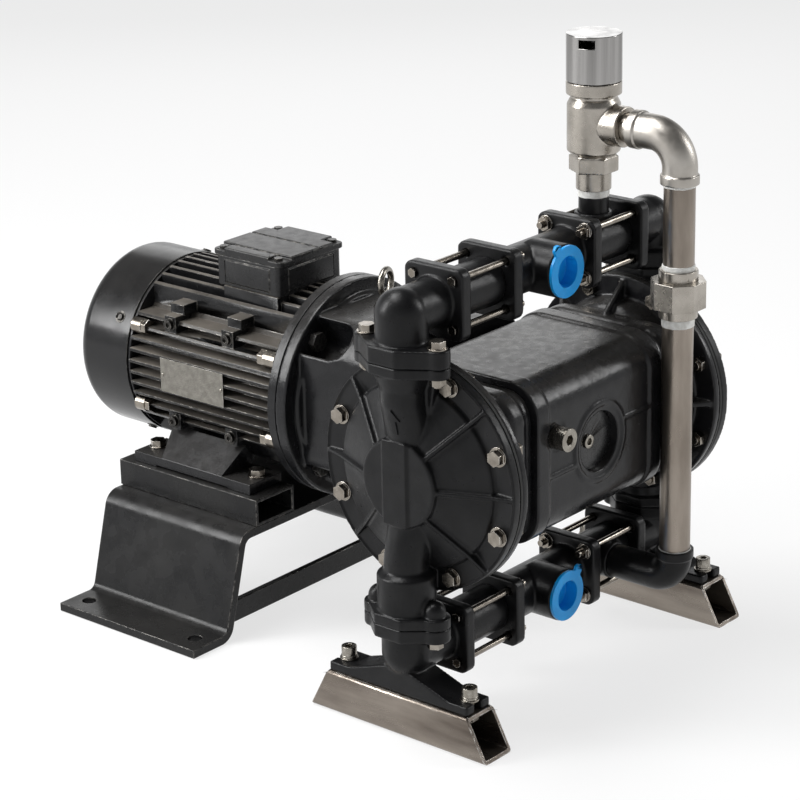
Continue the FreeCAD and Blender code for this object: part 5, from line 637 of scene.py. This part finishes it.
# Rating plate: a blank plate of stippled aluminium that lies on the motor's fins, held by a
# rivet at each end.
plate_metal = surface("stippled aluminium", (0.235, 0.225, 0.2), (0.17, 0.16, 0.142),
                      (0.3, 0.46), metallic=1.0, patch=150, grain=800, depth=0.5,
                      worn=(0.6, 0.58, 0.54), worn_width=0.0008, worn_from=0.01, worn_to=0.1)
plate = bmesh.new()
bmesh.ops.create_cube(plate, size=1.0)
plate_y, plate_z = 319.2, 213.5
bmesh.ops.scale(plate, vec=(0.0007, 0.078, 0.032), verts=plate.verts)
bmesh.ops.translate(plate, vec=at_pump(-86.3, plate_y, plate_z), verts=plate.verts)
soften(piece("rating_plate", plate, plate_metal), 0.0002)
rivets = bmesh.new()
for along in (-36.2, 36.2):
    rivet = bmesh.ops.create_uvsphere(rivets, u_segments=20, v_segments=10, radius=0.0017)
    bmesh.ops.scale(rivets, vec=(0.6, 1, 1), verts=rivet["verts"])
    bmesh.ops.translate(rivets, vec=at_pump(-86.6, plate_y + along, plate_z),
                        verts=rivet["verts"])
piece("plate_rivets", rivets, zinc)


# Seal tape: thin white thread tape, wound on the threads before the pipes are screwed in. It
# shows in ragged rings at the joints.
tape_white = surface("thread tape", (0.74, 0.74, 0.72), (0.6, 0.59, 0.56), (0.5, 0.7), patch=240,
                     grain=1800, depth=0.3, specular=0.3)


def wound(name, middle, low, high, radius):
    """A ring of tape wound on a pipe, its rims uneven. The sizes are millimetres."""
    shape = bmesh.new()
    rim, thick, crown = 0.4, 0.6, 0.8
    rows = [(radius, low), (radius + thick, low + rim), (radius + crown, (low + high) / 2),
            (radius + thick, high - rim), (radius, high)]
    line = [shape.verts.new((r / 1000, 0, z / 1000)) for r, z in rows]
    rims = [shape.edges.new(pair) for pair in zip(line, line[1:] + line[:1])]
    bmesh.ops.spin(shape, geom=line + rims, axis=(0, 0, 1), cent=(0, 0, 0), steps=72,
                   angle=math.tau, use_merge=True)
    bmesh.ops.translate(shape, vec=at_pump(*middle, 0), verts=shape.verts)
    waves_per_metre, ragged = 220, 0.0005
    for vertex in shape.verts:
        vertex.co.z += ragged * noise.noise(vertex.co * waves_per_metre)
    bmesh.ops.recalc_face_normals(shape, faces=shape.faces)
    return piece(name, shape, tape_white)


wound("riser_tape", (88.25, 0), 401.5, 408.2, 12.9)
elbow_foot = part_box("bypass_elbow_top")[0][2] * 1000
for name, low, high in (("union_tape_above", 351.5, 356.5), ("union_tape_below", 302, 309.5),
                        ("low_tape", 92, 99), ("elbow_tape", elbow_foot - 2.4, elbow_foot + 1)):
    wound(name, (88.25, -88.5), low, high, 13.4)


# Cover screws: four blackened socket screws with washers, which hold the fan cover to the
# rear shield.
def on_axis(direction, spot):
    """Turns a shape's upright axis to a direction and moves it to a spot."""
    return Matrix.Translation(spot) @ direction.to_track_quat("Z", "Y").to_matrix().to_4x4()


def socket_screw(shape, spot, direction, head_r, head_tall, washer_r):
    """Washer and socket head of a screw, standing on a surface."""
    place = on_axis(direction, spot)
    washer_tall, washer_middle = 0.0008, Vector((0, 0, 0.0002))
    bmesh.ops.create_cone(shape, cap_ends=True, segments=32, radius1=washer_r, radius2=washer_r,
                          depth=washer_tall, matrix=place @ Matrix.Translation(washer_middle))
    head = bmesh.ops.create_cone(shape, cap_ends=True, segments=36, radius1=head_r,
                                 radius2=head_r, depth=head_tall,
                                 matrix=place @ Matrix.Translation((0, 0, head_tall / 2)))
    ends = {face for vertex in head["verts"] for face in vertex.link_faces
            if len(face.verts) == 36}
    top = max(ends, key=lambda face: face.calc_center_median().dot(direction))
    rim_share, socket_share = 0.42, 0.6
    bmesh.ops.inset_individual(shape, faces=[top], thickness=head_r * rim_share)
    bmesh.ops.translate(shape, vec=direction * -head_tall * socket_share, verts=top.verts)


cover_screws = bmesh.new()
cover_middle, cover_radius = at_pump(0, 418.5, motor_axis), 0.0859
for turn in (151.4, 61.4, -28.6, -118.6):
    out = Vector((math.cos(math.radians(turn)), 0, math.sin(math.radians(turn))))
    socket_screw(cover_screws, cover_middle + out * cover_radius, out, head_r=0.0040,
                 head_tall=0.0024, washer_r=0.0056)
soften(piece("fan_cover_screws", cover_screws, black_oxide), 0.0003)


# Shield bolts: the through bolts that clamp the two end shields to the frame, with their
# bosses and hexagon heads between the ends of the fins.
shield_bolts = bmesh.new()
along_motor = Vector((0, 1, 0))
bolt_side, bolt_rise = 74, 37.6
for side, rise in four_corners:
    for y, long, corners, radius in ((229, 0.014, 40, 0.0078), (239, 0.007, 6, 0.0082),
                                     (394, 0.012, 40, 0.0076), (385.5, 0.006, 6, 0.0074)):
        spot = at_pump(side * bolt_side, y, motor_axis + rise * bolt_rise)
        bmesh.ops.create_cone(shield_bolts, cap_ends=True, segments=corners, radius1=radius,
                              radius2=radius, depth=long, matrix=on_axis(along_motor, spot))
soften(piece("shield_bolts", shield_bolts, bolt_steel), 0.0005)


# Lug washers: thin rings of blackened steel under the socket screws of the eight lugs on the
# motor frame.
lug_rings = bmesh.new()
lug_face, lug_y, lug_rise = 76.4, (282.5, 353.5), 46.5
for side, rise in four_corners:
    for y in lug_y:
        spot = at_pump(side * lug_face, y, motor_axis + rise * lug_rise)
        bmesh.ops.create_cone(lug_rings, cap_ends=True, segments=36, radius1=0.0064,
                              radius2=0.0060, depth=0.0010,
                              matrix=on_axis(Vector((side, 0, 0)), spot))
soften(piece("lug_washers", lug_rings, black_oxide), 0.0002)
